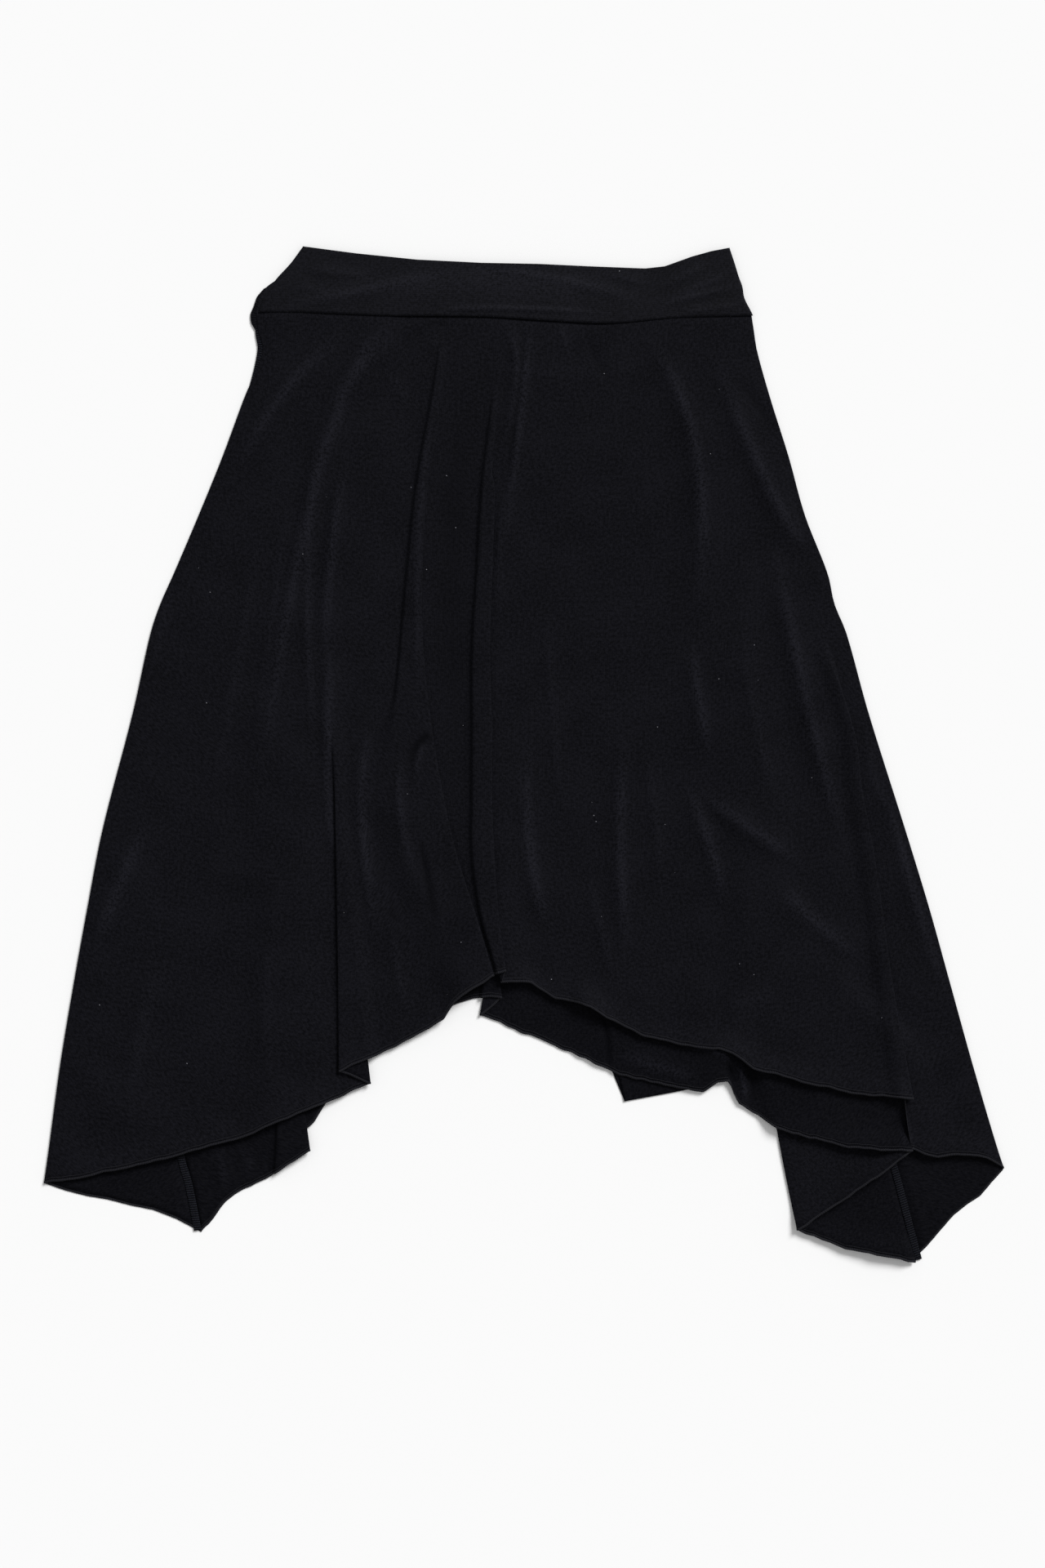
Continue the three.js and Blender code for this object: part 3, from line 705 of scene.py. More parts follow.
def front_surface(sizes):
    """The front panel: from its seam under the left side over the front to the seam under the right."""
    drop = WALL + AIR
    hidden = back_folds(sizes.step)
    flare, one, two, side = front_folds(sizes.step)

    def flat(x, y):
        return WALL / 2 + 0 * x * y

    def laid(x, y):
        x, y = np.broadcast_arrays(x, y)
        ridges = ridge_height(RIDGES, x, y)[0] + ridge_height(CREASES, x, y)[0]
        uneven = sizes.unevenness * (waviness(x, y, seed=5, longest=120, shortest=45) + 1) / 2
        raised = hem_rise(x, y) + folds_below(x, y, hidden)
        return WALL / 2 + drop + raised + sizes.relief * ridges + uneven

    left_end, left_turn = side_turn(SIDES["left"], -1, drop, HEM["left"](-441))
    right_end, right_turn = side_turn(SIDES["right"], 1, drop, HEM["side"](441))

    def over(*folds):
        """A stretch is lifted by the folds that it lies on top of, and comes down at the laid sides."""

        def z(x, y):
            level = WALL / 2 + drop
            near_left = smooth((x - left_end(y)) / SIDE_STEP)
            near_right = smooth((right_end(y) - x) / SIDE_STEP)
            height = laid(x, y) + sum(f.rise(x, y) for f in folds)
            return level + (height - level) * near_left * near_right

        return z

    left_under = stretch(SIDES["leftSeam"], left_end, 8, flat, HEM["leftUnder"], lifts=False)
    left_top = stretch(left_end, flare.low_end, 60, over(), HEM["left"])
    over_all = over(flare, one, two)
    middle = joined(
        stretch(flare.top_end, flare.brink, 10, over_all, HEM["middle"]),
        stretch(flare.brink, flare.shoulder, STEP_COLUMNS, over_all, HEM["middle"]),
        *covered(flare.shoulder, one, 35, 19, over_all, HEM["middle"]),
    )
    floor = joined(*covered(one.low_end, two, 12, 9, over(two), HEM["pleatFloor"]))
    wide = joined(*covered(two.low_end, side, 138, 6, over(side), HEM["right"]))
    side_top = stretch(side.low_end, right_end, 22, over(), HEM["side"])
    right_under = stretch(right_end, SIDES["rightSeam"], 8, flat, HEM["rightUnder"], lifts=False)
    segments = [
        left_under, backwards(left_turn), left_top,
        flare.segment(over(), left_top, middle[0]),
        *middle,
        one.segment(over(two), middle[-1], floor[0]),
        *floor,
        two.segment(over(), floor[-1], wide[0]),
        *wide,
        side.segment(over(), wide[-1], side_top),
        side_top, right_turn, right_under,
    ]
    return surface(segments, FRONT_HEM_LIFT, SEAM_DIP, seed=21)


def back_surface(sizes):
    """The back panel, from seam to seam and wrong side up, with folds that grow towards the hem."""

    def laid(x, y):
        x, y = np.broadcast_arrays(x, y)
        height = WALL / 2 + hem_rise(x, y) + ridge_height(BACK_CREASES, x, y)[0]
        return np.maximum(height, CLOTH_LOWEST)

    left, nest, corner = back_folds(sizes.step)

    def over(*folds):
        return lambda x, y: laid(x, y) + sum(f.rise(x, y) for f in folds)

    left_part = joined(*covered(SIDES["leftSeam"], left, 16, 10, over(left, nest, corner), HEM["backLeft"]))
    middle = joined(*covered(left.low_end, nest, 34, 10, over(nest, corner), HEM["backMiddle"]))
    wide = joined(*covered(nest.low_end, corner, 140, 26, over(corner), HEM["backRight"]))
    end = stretch(corner.low_end, SIDES["rightSeam"], 16, laid, HEM["backCorner"])
    segments = [
        *left_part,
        left.segment(over(nest, corner), left_part[-1], middle[0]),
        *middle,
        nest.segment(over(corner), middle[-1], wide[0]),
        *wide,
        corner.segment(laid, wide[-1], end),
        end,
    ]
    return surface(segments, BACK_HEM_LIFT, lambda x: 0 * x, seed=34)


def cloth_uv(points):
    """Each point's place in the flat cloth in metres: along its row from the middle, and down its column."""
    across = np.linalg.norm(np.diff(points, axis=0), axis=-1)
    down = np.linalg.norm(np.diff(points, axis=1), axis=-1)
    u = np.vstack([np.zeros((1, points.shape[1])), np.cumsum(across, 0)])
    v = np.hstack([np.zeros((points.shape[0], 1)), np.cumsum(down, 1)])
    return np.stack([u - u[len(u) // 2], -v], -1) * MM


def grid_faces(columns, rows, wrap=False):
    """Corners of the squares of a grid, which runs round to its first column again where wrap is true."""
    i = np.arange(columns if wrap else columns - 1)[:, None]
    j = np.arange(rows - 1)[None, :]
    after = (i + 1) % columns
    corners = (i * rows + j, i * rows + j + 1, after * rows + j + 1, after * rows + j)
    return np.stack([np.broadcast_to(c, (len(i), rows - 1)) for c in corners], -1).reshape(-1, 4)


def make_mesh(name, points, quads, uv=None, caps=()):
    """A smooth mesh object from points in mm, four-cornered faces and flat caps, with a UV map in metres."""
    mesh = bpy.data.meshes.new(name)
    corners = np.concatenate([quads.ravel(), *[np.asarray(c) for c in caps]]).astype(np.int32)
    sizes = np.concatenate([np.full(len(quads), 4), [len(c) for c in caps]]).astype(np.int32)
    flat = points.reshape(-1, 3)
    mesh.vertices.add(len(flat))
    mesh.vertices.foreach_set("co", (flat * MM).astype(np.float32).ravel())
    mesh.loops.add(len(corners))
    mesh.loops.foreach_set("vertex_index", corners)
    mesh.polygons.add(len(sizes))
    mesh.polygons.foreach_set("loop_start", np.concatenate([[0], np.cumsum(sizes)[:-1]]).astype(np.int32))
    mesh.polygons.foreach_set("loop_total", sizes)
    mesh.polygons.foreach_set("use_smooth", np.ones(len(sizes), bool))
    if uv is not None:
        layer = mesh.uv_layers.new(name="cloth")
        layer.data.foreach_set("uv", uv.reshape(-1, 2)[corners].astype(np.float32).ravel())
    mesh.update(calc_edges=True)
    mesh.validate()
    piece = bpy.data.objects.new(name, mesh)
    bpy.context.scene.collection.objects.link(piece)
    return piece


def cloth_piece(name, points, thickness, outside, inside, ridges=()):
    """A sheet of cloth through a grid of points, given its thickness by Solidify. Its attribute of painted
    light
    follows the ridges: a painted highlight along their crests and painted shade along their troughs."""
    quads = grid_faces(*points.shape[:2])
    piece = make_mesh(name, points, quads, cloth_uv(points))
    # painted light along the ridges, for the material: painted highlight on the crests, painted shade in the
    # troughs
    nap = ridge_height(ridges, points[..., 0], points[..., 1])[1].astype(np.float32)
    piece.data.attributes.new("nap", "FLOAT", "POINT").data.foreach_set("value", nap.ravel())
    piece.data.materials.append(outside)
    piece.data.materials.append(inside)
    solid = piece.modifiers.new("cloth thickness", "SOLIDIFY")
    solid.thickness = thickness
    solid.offset = 0
    solid.use_even_offset = False
    solid.material_offset = 1
    return piece


def lengths(line):
    """How far along a line each of its points lies, in mm."""
    return np.hstack([0, np.cumsum(np.linalg.norm(np.diff(line, axis=0), axis=1))])


def resampled(line, step, *others):
    """A line of points, and what goes with each of them, at even steps along its length."""
    length = lengths(line)
    at = np.linspace(0, length[-1], max(int(length[-1] / step), 2))
    found = [np.stack([np.interp(at, length, a[:, k]) for k in range(3)], 1) for a in (line, *others)]
    return at, found


def unit(v):
    return v / np.linalg.norm(v, axis=-1, keepdims=True)


def square_to(along, v):
    """The unit vectors of v, made square to those along a line."""
    return unit(v - (v * along).sum(1, keepdims=True) * along)


def doubled(share, arc):
    """A sheet folded in half: how far along each row lies, out and round the fold and back, and its turn."""
    turn = np.linspace(0, np.pi, arc + 2)[1:-1]
    turn = np.hstack([0 * share, turn, np.full(len(share), np.pi)])
    return np.hstack([share, np.ones(arc), share[::-1]])[None, :], turn[None, :]


def sweep(name, line, out, up, widths, heights, inset, sides=8):
    """A closed roll along a line: an ellipse in the plane of out and up, widths and heights across at each
    point, its middle moved in from the line by inset."""
    turn = 2 * np.pi * np.arange(sides) / sides
    away = (widths[:, None] / 2) * np.cos(turn) - inset[:, None]
    high = (heights[:, None] / 2) * np.sin(turn)
    points = line[:, None] + away[..., None] * out[:, None] + high[..., None] * up[:, None]
    count = len(line)
    first = np.arange(sides) * count
    caps = [first, first[::-1] + count - 1]
    around = np.broadcast_to((turn / (2 * np.pi))[:, None], (sides, count))
    uv = np.stack([np.broadcast_to(lengths(line) * MM, (sides, count)), around * ROLL_ROUND], -1)
    return make_mesh(name, points.transpose(1, 0, 2), grid_faces(sides, count, wrap=True), uv, caps)


def inside_hem(points, distance):
    """The line at a distance inside a panel's last row, along each column, whose last rows are even."""
    steps = distance / np.linalg.norm(points[:, -1] - points[:, -2], axis=1)
    whole = np.floor(steps).astype(int)
    part = (steps - whole)[:, None]
    column = np.arange(len(points))
    return points[column, -1 - whole] * (1 - part) + points[column, -2 - whole] * part


def hem_edge(name, points, sizes, thread, seed):
    """The overlocked edge along a panel's last row, and the line that its needle thread leaves inside it.

    The edge is a flat roll round the cut edge. Its width swells with each stitch by the sine of its place,
    with some stitches looser than others, and it is slim where it runs nearly along y, round a fold's end."""
    spacing, inset = 0.42, 0.4  # between the roll's points, and from the cut edge in to its middle
    knot, tightest, loosest = 3.7, 0.4, 1.5  # a new looseness comes this often, between these two
    wider, higher = 0.5, 0.3  # how far a stitch of looseness 1 swells
    steep, steepest, slimmer = 0.85, 0.97, 0.55  # it gets slimmer by this share between these slopes
    needle_spacing, needle_width, needle_height = 1.2, 0.7, 0.385
    at, (line, outwards) = resampled(points[:, -1], spacing, points[:, -1] - points[:, -3])
    along = unit(np.gradient(line, axis=0))
    outwards = square_to(along, outwards)
    up = unit(np.cross(outwards, along))
    random = np.random.default_rng(seed)
    knots = np.arange(0, at[-1] + 9, knot)
    loose = np.interp(at, knots, random.uniform(tightest, loosest, len(knots)))
    swell = np.abs(np.sin(np.pi * at / sizes.stitch)) * loose
    slim = 1 - slimmer * smooth((np.abs(along[:, 1]) - steep) / (steepest - steep))
    widths = slim * (sizes.hem_width + wider * swell)
    heights = slim * (sizes.hem_height + higher * swell)
    roll = sweep(f"{name}_hem", line, outwards, up, widths, heights, inset * slim)
    row = inside_hem(points, sizes.needle_line)
    at, (line, outwards) = resampled(row, needle_spacing, points[:, -1] - points[:, -3])
    outwards = unit(outwards)
    up = unit(np.cross(outwards, unit(np.gradient(line, axis=0))))
    line = line + up * sizes.thickness / 2
    size = np.ones(len(at))
    widths, heights = needle_width * size, needle_height * size
    needle = sweep(f"{name}_needle_line", line, outwards, up, widths, heights, 0 * size, 5)
    for piece in (roll, needle):
        piece.data.materials.append(thread)
        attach(piece, "root")
    return [roll, needle]


def overlocked(name, line, outwards, sizes, loops):
    """A seam allowance: a flat elliptic strip along a line, and a thread wound round it as a helix with one
    turn for each stitch."""
    spacing, margin, strip_height = 1.5, 0.5, 0.7  # the strip is narrower than the helix by the margin
    turns, helix_height, thread_width = 10, 0.43, 0.34  # points to a turn, half height, and the thread's own
    at, (line, outwards) = resampled(line, spacing, outwards)
    out = square_to(unit(np.gradient(line, axis=0)), outwards)
    size = np.ones(len(at))
    widths, heights = (sizes.allowance - margin) * size, strip_height * size
    up = np.broadcast_to(UP, line.shape)
    strip = sweep(f"{name}_allowance", line, out, up, widths, heights, 0 * size, 12)
    strip.data.materials.append(material("plain jersey inside"))
    fine, (middle, out) = resampled(line, sizes.stitch / turns, out)
    turn = 2 * np.pi * fine[:, None] / sizes.stitch
    wound = middle + (sizes.allowance / 2) * np.cos(turn) * out + helix_height * np.sin(turn) * UP
    along = unit(np.gradient(wound, axis=0))
    side = unit(np.cross(along, UP))
    size = np.full(len(fine), thread_width)
    thread = sweep(f"{name}_loops", wound, side, np.cross(side, along), size, size, 0 * size, 4)
    thread.data.materials.append(loops)
    for piece in (strip, thread):
        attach(piece, "root")


def linear(hex_colour):
    """An sRGB colour, written as hex, as the linear red, green, blue and alpha that Blender mixes."""
    channels = [int(hex_colour[i : i + 2], 16) / 255 for i in (1, 3, 5)]
    return tuple(c / 12.92 if c <= 0.04045 else ((c + 0.055) / 1.055) ** 2.4 for c in channels) + (1.0,)


def add(tree, kind, inputs=None, **settings):
    """A node with its settings. inputs has a value or another node's output for each of its sockets."""
    node = tree.nodes.new(kind)
    for name, value in settings.items():
        setattr(node, name, value)
    for socket, value in (inputs or {}).items():
        if isinstance(value, bpy.types.NodeSocket):
            tree.links.new(value, node.inputs[socket])
        else:
            node.inputs[socket].default_value = value
    return node


def empty_material(name):
    """A new material, its node tree, and the cloth's UV map as the only node in it."""
    made = bpy.data.materials.new(name)
    made.use_nodes = True
    made.node_tree.nodes.clear()
    return made, made.node_tree, add(made.node_tree, "ShaderNodeUVMap", uv_map="cloth").outputs["UV"]


def mixed(tree, share, first, second):
    """Two colours mixed by a share. Each is an sRGB hex colour or another node's output."""
    first, second = (linear(c) if isinstance(c, str) else c for c in (first, second))
    return add(tree, "ShaderNodeMix", {0: share, 6: first, 7: second}, data_type="RGBA").outputs[2]


def reckoned(tree, operation, *values):
    """One step of arithmetic on numbers and other nodes' outputs."""
    return add(tree, "ShaderNodeMath", dict(enumerate(values)), operation=operation).outputs[0]


def bar_scale(spacing):
    """Scale of a wave texture whose bars are spacing mm apart. At 1 it has 20 / (2 pi) bars to a metre."""
    return 2 * np.pi / spacing * 1000 / 20


def surfaced(tree, inputs):
    """The shader that ends a material, with a number or a node's output for each of its sockets."""
    shader = add(tree, "ShaderNodeBsdfPrincipled", inputs)
    add(tree, "ShaderNodeOutputMaterial", {"Surface": shader.outputs[0]})


def knit_material(name, dark, light, raised, roughness, specular, sheen, wales, lint):
    """Stretch jersey: fine columns of stitches, a heathered speckle and a faint sheen.

    The stitches are 0.4 mm apart on the real cloth, and are drawn 1.3 mm apart, because finer ones vanish.
    Along a crease a painted highlight lightens the colour, and in a hollow painted shade darkens it."""
    made, tree, place = empty_material(name)
    speckles = {"Vector": place, "Scale": 380.0, "Detail": 4.0, "Roughness": 0.8}
    speckle = add(tree, "ShaderNodeTexNoise", speckles).outputs[0]
    clouds = add(tree, "ShaderNodeTexNoise", {"Vector": place, "Scale": 24.0, "Detail": 4.0}).outputs[0]
    grain = reckoned(tree, "MULTIPLY_ADD", clouds, 0.16, speckle)
    spread = add(tree, "ShaderNodeMapRange", {"Value": grain, "From Min": 0.47, "From Max": 0.71}).outputs[0]
    # the painted light along the ridges: above 0 a painted highlight, below 0 painted shade
    nap = add(tree, "ShaderNodeAttribute", attribute_name="nap").outputs["Fac"]
    plain = mixed(tree, spread, dark, light)
    # painted shade takes the colour towards dark in the hollows, then the painted highlight takes it towards
    # raised, the highlight's colour, on the crests
    painted_shade = mixed(tree, reckoned(tree, "MULTIPLY", nap, -1.0), plain, dark)
    tone_with_painted_light = mixed(tree, reckoned(tree, "MULTIPLY", nap, spread), painted_shade, raised)
    fluff = add(tree, "ShaderNodeTexVoronoi", {"Vector": place, "Scale": lint}).outputs["Distance"]
    dusty = mixed(tree, reckoned(tree, "LESS_THAN", fluff, 0.018), tone_with_painted_light, "#7a7a80")
    columns = {"Vector": place, "Scale": bar_scale(1.3), "Distortion": 1.2}
    columns.update({"Detail": 2.0, "Detail Scale": 3.0})
    stitches = add(tree, "ShaderNodeTexWave", columns, bands_direction=wales).outputs["Fac"]
    fibres = reckoned(tree, "MULTIPLY_ADD", stitches, 1.2, speckle)
    relief = add(tree, "ShaderNodeBump", {"Height": fibres, "Strength": 0.3, "Distance": 0.0003})
    surfaced(
        tree,
        {
            "Base Color": dusty,
            "Roughness": roughness,
            "Specular IOR Level": specular,
            "Sheen Weight": sheen,
            "Sheen Roughness": 0.45,
            "Sheen Tint": linear("#d0d4e4"),
            "Normal": relief.outputs[0],
        },
    )
    return made


def thread_material(name, colour):
    """Spun polyester overlock thread: matt, a touch lighter than the cloth, its twist as fine dark bars."""
    made, tree, place = empty_material(name)
    turns = {"Vector": place, "Scale": bar_scale(1.1), "Distortion": 2.0}
    twist = add(tree, "ShaderNodeTexWave", turns).outputs["Fac"]
    relief = add(tree, "ShaderNodeBump", {"Height": twist, "Strength": 0.5, "Distance": 0.0004})
    surfaced(
        tree,
        {
            "Base Color": mixed(tree, twist, "#0d0d10", colour),
            "Roughness": 0.75,
            "Specular IOR Level": 0.06,
            "Sheen Weight": 0.03,
            "Normal": relief.outputs[0],
        },
    )
    return made


# Each knit's colours, roughness, specular, sheen, the direction of its stitches and the scale of its lint
KNITS = {
    "plain jersey": ("face", 0.75, 0.03, 0.03, "X", 44.0),
    "plain jersey across": ("band", 0.7, 0.04, 0.04, "Y", 44.0),
    "plain jersey inside": ("inside", 0.85, 0.02, 0.02, "Y", 9.0),
}


def material(name):
    """One of the skirt's materials, made the first time that a piece asks for it."""
    if name in bpy.data.materials:
        return bpy.data.materials[name]
    colours = bpy.context.scene.skirt_colours
    if name in KNITS:
        part, *finish = KNITS[name]
        dark, light = getattr(colours, f"{part}_dark"), getattr(colours, f"{part}_light")
        return knit_material(name, dark, light, colours.nap, *finish)
    return thread_material(name, colours.loops if name == "spun polyester loops" else colours.thread)


def size(name, description, default, **limits):
    return bpy.props.FloatProperty(name=name, description=description, default=default, **limits)


def colour(name, use, default):
    return bpy.props.StringProperty(name=name, description=f"{use}, sRGB hex", default=default)


class SkirtSizes(bpy.types.PropertyGroup):
    thickness: size("Cloth", "Thickness of one layer of jersey, in mm", 0.7, min=0.4, max=1.0)
    step: size("Step", "Width over which a layer comes down beside a fold, in mm", 3.2, min=2.0)
    relief: size("Relief", "How high the soft ridges stand, as a share of their sizes", 1.0)
    unevenness: size("Unevenness", "Height of the cloth's faint waves, in mm", 0.8, min=0.0)
    hem_width: size("Hem width", "Width of the overlocked edge, in mm", 2.0, min=1.0)
    hem_height: size("Hem height", "Thickness of the overlocked edge, in mm", 1.1, min=0.8)
    needle_line: size("Needle line", "Distance of the hem's needle line from its edge, in mm", 3.2)
    stitch: size("Stitch", "Distance between overlock stitches, in mm", 2.1, min=1.0)
    allowance: size("Allowance", "Width of the side seams' allowance, in mm", 7.0, min=3.0)
    camera_height: size("Camera height", "Height of the camera above the floor", 2.2, unit="LENGTH")


class SkirtColours(bpy.types.PropertyGroup):
    face_dark: colour("Face, dark", "Right side", "#07070a")
    face_light: colour("Face, light", "Right side", "#15151a")
    band_dark: colour("Band, dark", "Waistband", "#0a0a0d")
    band_light: colour("Band, light", "Waistband", "#17171c")
    inside_dark: colour("Inside, dark", "Wrong side", "#07070a")
    inside_light: colour("Inside, light", "Wrong side", "#121216")
    # the colour of the painted highlight along the crests of the ridges
    nap: colour("Highlight", "Nap along the creases", "#1d1d23")
    thread: colour("Thread", "Overlock thread", "#222227")
    loops: colour("Loops", "Thread of the side seams", "#3a3e48")


class SKIRT_OT_stage(bpy.types.Operator):
    """Lays a pale floor, hangs a large soft light at the upper right and sets the camera straight above"""

    bl_idname = "skirt.stage"
    bl_label = "Stage"

    def execute(self, context):
        scene = context.scene
        scene.view_settings.view_transform = "Standard"
        mesh = bpy.data.meshes.new("floor")
        half = FLOOR_HALF
        corners = [(-half, -half, 0), (half, -half, 0), (half, half, 0), (-half, half, 0)]
        mesh.from_pydata(corners, [], [(0, 1, 2, 3)])
        floor = bpy.data.objects.new("floor", mesh)
        scene.collection.objects.link(floor)
        paper = bpy.data.materials.new("matt white paper")
        paper.use_nodes = True
        shader = paper.node_tree.nodes["Principled BSDF"]
        shader.inputs["Base Color"].default_value = linear("#f4f4f4")
        shader.inputs["Roughness"].default_value = 0.9
        shader.inputs["Specular IOR Level"].default_value = 0.1
        mesh.materials.append(paper)
        world = bpy.data.worlds.new("studio")
        world.use_nodes = True
        world.node_tree.nodes["Background"].inputs["Color"].default_value = (1, 1, 1, 1)
        world.node_tree.nodes["Background"].inputs["Strength"].default_value = ROOM_LIGHT
        scene.world = world
        key = bpy.data.lights.new("key", "SUN")
        key.angle = KEY_LIGHT["angle"]
        key.energy = KEY_LIGHT["energy"]
        self.hang(scene, key, KEY_LIGHT["place"])
        camera = bpy.data.cameras.new("camera")
        camera.lens = 55
        camera.sensor_width = 36
        camera.sensor_fit = "VERTICAL"
        camera.sensor_height = 36
        view = bpy.data.objects.new("camera", camera)
        view.location = (*CAMERA_OVER, scene.skirt_sizes.camera_height)
        scene.collection.objects.link(view)
        scene.camera = view
        return {"FINISHED"}

    def hang(self, scene, light, place):
        """A light at a place, turned to the middle of the skirt."""
        lamp = bpy.data.objects.new(light.name, light)
        lamp.location = place
        lamp.rotation_euler = (-Vector(place)).to_track_quat("-Z", "Y").to_euler()
        scene.collection.objects.link(lamp)


class SKIRT_OT_front_panel(bpy.types.Operator):
    """Makes the front panel with its pleats, flare folds and creases, and the overlocked edge of its hem"""

    bl_idname = "skirt.front_panel"
    bl_label = "Front panel"

    def execute(self, context):
        sizes = context.scene.skirt_sizes
        points = front_surface(sizes)
        cloth, inside = material("plain jersey"), material("plain jersey inside")
        piece = cloth_piece("front_cloth", points, sizes.thickness * MM, cloth, inside, RIDGES + CREASES)
        hem = hem_edge("front", points, sizes, material("spun polyester thread"), seed=3)
        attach(piece, "root")
        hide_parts("front_panel")
        return {"FINISHED"}


class SKIRT_OT_back_panel(bpy.types.Operator):
    """Makes the back panel, which lies wrong side up, and the overlocked edge of its hem"""

    bl_idname = "skirt.back_panel"
    bl_label = "Back panel"

    def execute(self, context):
        sizes = context.scene.skirt_sizes
        points = back_surface(sizes)
        cloth, inside = material("plain jersey"), material("plain jersey inside")
        piece = cloth_piece("back_cloth", points, sizes.thickness * MM, inside, cloth, BACK_CREASES)
        hem = hem_edge("back", points, sizes, material("spun polyester thread"), seed=4)
        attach(piece, "root")
        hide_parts("back_panel")
        return {"FINISHED"}


class SKIRT_OT_hem_tip(bpy.types.Operator):
    """Makes the corner of the back hem that is turned under and shows below it, doubled at its edge"""

    bl_idname = "skirt.hem_tip"
    bl_label = "Turned hem tip"

    def execute(self, context):
        sizes = context.scene.skirt_sizes
        tip = HEM_TIP
        level, radius = 0.5, 0.43  # the lower layer's height, and half the way up to the upper one
        width, lean = 90, 9.0  # of the tip, and how far the upper layer's top left is drawn in
        swell, swell_at, swell_reach = 0.5, 2.5, 1.5  # of the seam allowance beside its left edge
        columns, rows, arc = 40, 20, 5
        across = np.linspace(0, 1, columns)[:, None]
        share, turn = doubled(np.linspace(0, 1, rows), arc)
        top_x = tip["top_left"] * (1 - across) + tip["end"][0] * across
        bottom_x = tip["point"][0] * (1 - across) + tip["end"][0] * across
        bottom_y = edge(tip["point"], tip["right"], tip["end"])(bottom_x)
        upper = (1 - np.cos(turn)) / 2
        x = top_x * (1 - share) + bottom_x * share + lean * upper * (1 - share) * (1 - across)
        y = tip["top"] * (1 - share) + bottom_y * share - radius * np.sin(turn)
        swelling = swell * np.exp(-(((across * width - swell_at) / swell_reach) ** 2))
        z = level + 2 * radius * upper + upper * swelling
        points = np.stack(np.broadcast_arrays(x, y, z), -1)
        cloth, inside = material("plain jersey"), material("plain jersey inside")
        piece = cloth_piece("hem_tip_cloth", points, sizes.thickness * MM, cloth, inside)
        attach(piece, "root")
        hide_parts("back_hem_tip")
        return {"FINISHED"}


class SKIRT_OT_waistbands(bpy.types.Operator):
    """Makes the front and back waistbands, each of doubled jersey folded at its top edge"""

    bl_idname = "skirt.waistbands"
    bl_label = "Waistbands"

    def execute(self, context):
        sizes = context.scene.skirt_sizes
        self.band(sizes, "front", BAND_WALL + SEAM_GAP, BAND_RIDGES, 1, 0)
        self.band(sizes, "back", 0.0, [], -1, 1)
        return {"FINISHED"}

    def band(self, sizes, side, level, ridges, outside, inset):
        """A sheet folded in half over its top edge. It runs from the waist seam up the outer layer, round the
        fold and down the inner layer. At both ends the two layers close up."""
        columns, rows, arc = 190, 34, 8
        closer = 0.55  # how much closer the rows are beside the waist seam
        margin = 0.25  # between the band's cloth and the faces of its solid
        end_reach, end_share = 2.5, 0.35  # at both ends the layers close up to this share of their distance
        lip_reach, outer_lip, inner_lip = 1.6, 0.9, -0.25  # beside the seam they turn in by this much
        u = np.linspace(0, 1, columns)[:, None]
        radius = (BAND_WALL - sizes.thickness - margin) / 2
        even = np.linspace(0, 1, rows)
        share, turn = doubled(even - closer * even * (1 - even), arc)
        left = BAND_SIDES["frontLeft" if side == "front" else "left"]
        right = BAND_SIDES["right"]

        def x_at(y):
            return (left(y) + inset) * (1 - u) + (right(y) - inset) * u

        guess = np.full((columns, 1), WAIST_GUESS)
        seam = meet(x_at, WAIST_SEAM, guess) + SEAM_GAP
        top = meet(x_at, BAND_TOP, guess) - inset - radius
        y = seam + (top - seam) * share
        x = x_at(y)
        y = y + radius * np.sin(turn)
        from_side = np.minimum(x - left(y) - inset, right(y) - inset - x)
        closing = np.sqrt(np.clip(1 - (1 - np.clip(from_side / end_reach, 0, 1)) ** 2, 0, 1))
        lip = np.clip(1 - (y - seam) / lip_reach, 0, 1) ** 2
        ridge = sizes.relief * ridge_height(ridges, x, y)[0]
        apart = radius * np.cos(turn) * (end_share + (1 - end_share) * closing)
        z = level + BAND_WALL / 2 + outside * apart + ridge * closing
        z = z - outside * lip * np.where(np.cos(turn) > 0, outer_lip, inner_lip)
        points = np.stack([x, y, np.maximum(z, sizes.thickness / 2)], -1)
        if outside < 0:
            points = points[::-1]
        cloth = material("plain jersey across")
        piece = cloth_piece(f"waistband_{side}_cloth", points, sizes.thickness * MM, cloth, cloth, ridges)
        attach(piece, "root")
        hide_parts(f"waistband_{side}")


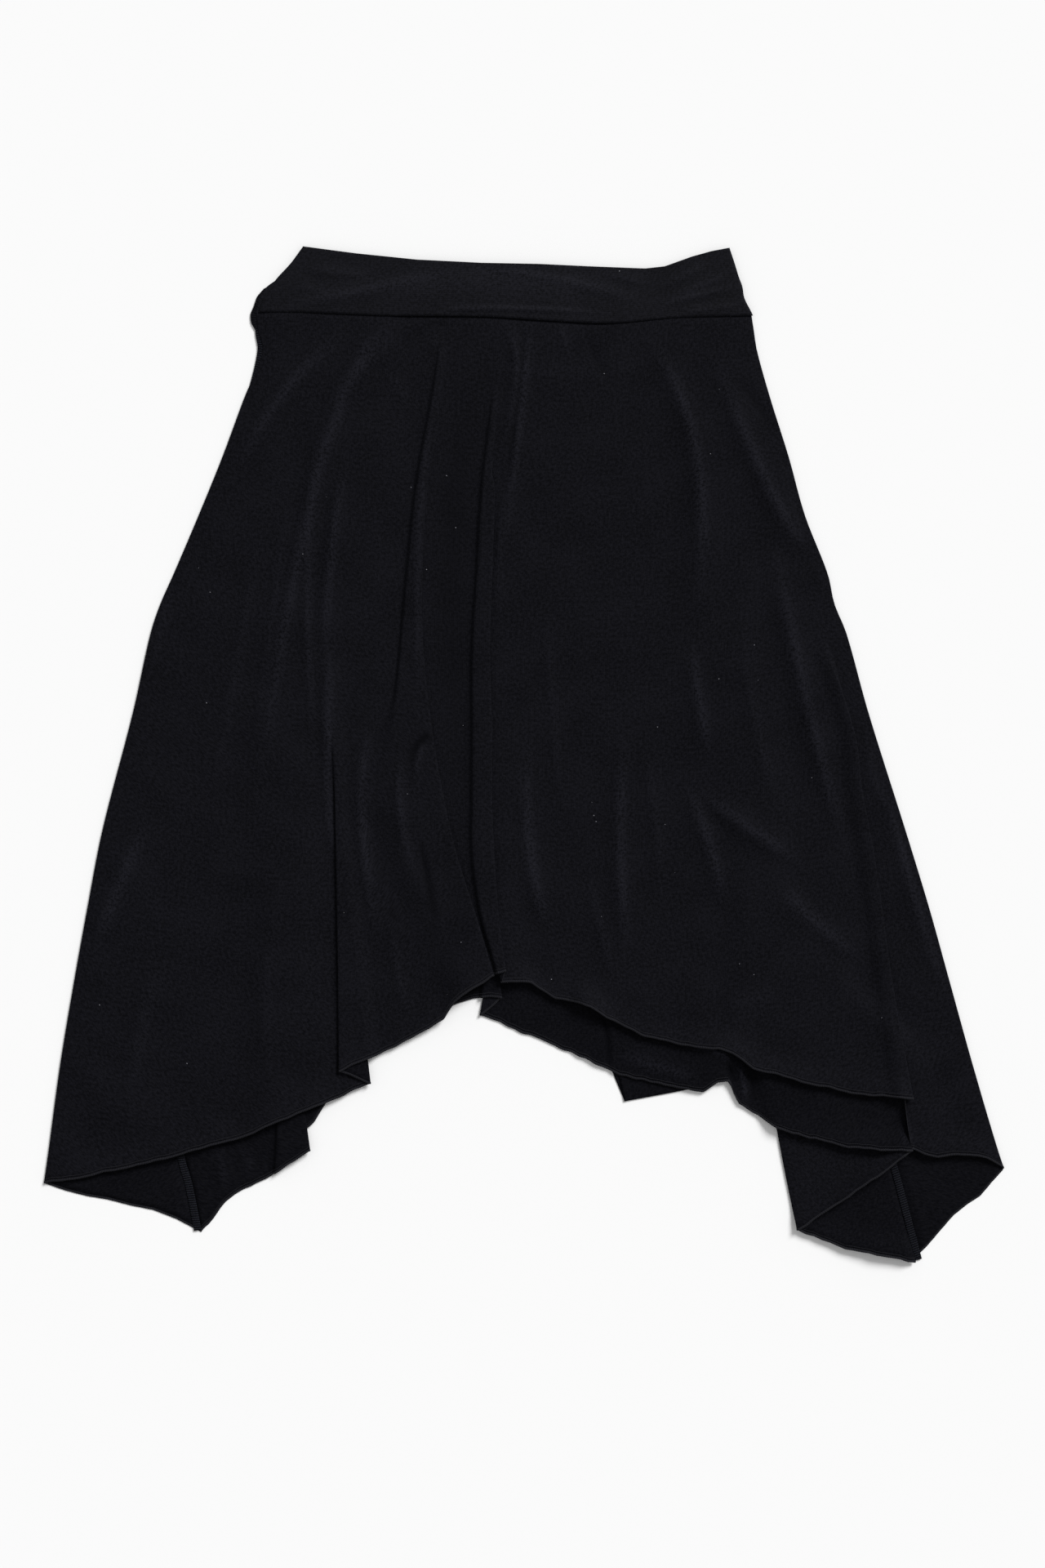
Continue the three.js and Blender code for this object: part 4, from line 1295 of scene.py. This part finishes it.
class SKIRT_OT_side_seams(bpy.types.Operator):
    """Makes the overlocked allowances of the side seams, which lie on the wrong side of the cloth"""

    bl_idname = "skirt.side_seams"
    bl_label = "Side seams"

    def execute(self, context):
        sizes = context.scene.skirt_sizes
        loops = material("spun polyester loops")
        top, count = 396, 400  # the level where both start, and the points along each
        for side, seam, outwards, hem in (("left", "leftSeam", -1, -437), ("right", "rightSeam", 1, -464)):
            y = np.linspace(top, hem, count)
            x = SIDES[seam](y) + outwards * sizes.allowance / 2
            line = np.stack([x, y, np.full_like(y, ALLOWANCE_LEVEL)], 1)
            away = np.broadcast_to([outwards, 0.0, 0.0], line.shape)
            overlocked(f"{side}_seam", line, away, sizes, loops)
        path = np.array(LEFT_CURL, float)
        line = np.column_stack([path, np.full(len(path), ALLOWANCE_LEVEL)])
        along = np.gradient(line, axis=0)
        outwards = unit(np.stack([along[:, 1], -along[:, 0], along[:, 2]], 1))
        line = line - outwards * sizes.allowance / 2
        overlocked("left_waist", line, outwards, sizes, material("spun polyester thread"))
        return {"FINISHED"}


class SKIRT_PT_panel(bpy.types.Panel):
    """Lists the steps that dress the skirt and the sizes and colours that they use"""

    bl_label = "Flat-laid skirt"
    bl_idname = "SKIRT_PT_panel"
    bl_space_type = "VIEW_3D"
    bl_region_type = "UI"
    bl_category = "Skirt"

    def draw(self, context):
        for step in STEPS:
            self.layout.operator(step.bl_idname)
        for group in (context.scene.skirt_sizes, context.scene.skirt_colours):
            for name in group.__annotations__:
                self.layout.prop(group, name)


STEPS = (
    SKIRT_OT_stage,
    SKIRT_OT_back_panel,
    SKIRT_OT_hem_tip,
    SKIRT_OT_front_panel,
    SKIRT_OT_waistbands,
    SKIRT_OT_side_seams,
)


def register():
    for kind in (SkirtSizes, SkirtColours, *STEPS, SKIRT_PT_panel):
        bpy.utils.register_class(kind)
    bpy.types.Scene.skirt_sizes = bpy.props.PointerProperty(type=SkirtSizes)
    bpy.types.Scene.skirt_colours = bpy.props.PointerProperty(type=SkirtColours)


def unregister():
    del bpy.types.Scene.skirt_colours
    del bpy.types.Scene.skirt_sizes
    for kind in reversed((SkirtSizes, SkirtColours, *STEPS, SKIRT_PT_panel)):
        bpy.utils.unregister_class(kind)


def main():
    register()
    for step in STEPS:
        area, name = step.bl_idname.split(".")
        getattr(getattr(bpy.ops, area), name)()


if __name__ == "__main__":
    main()
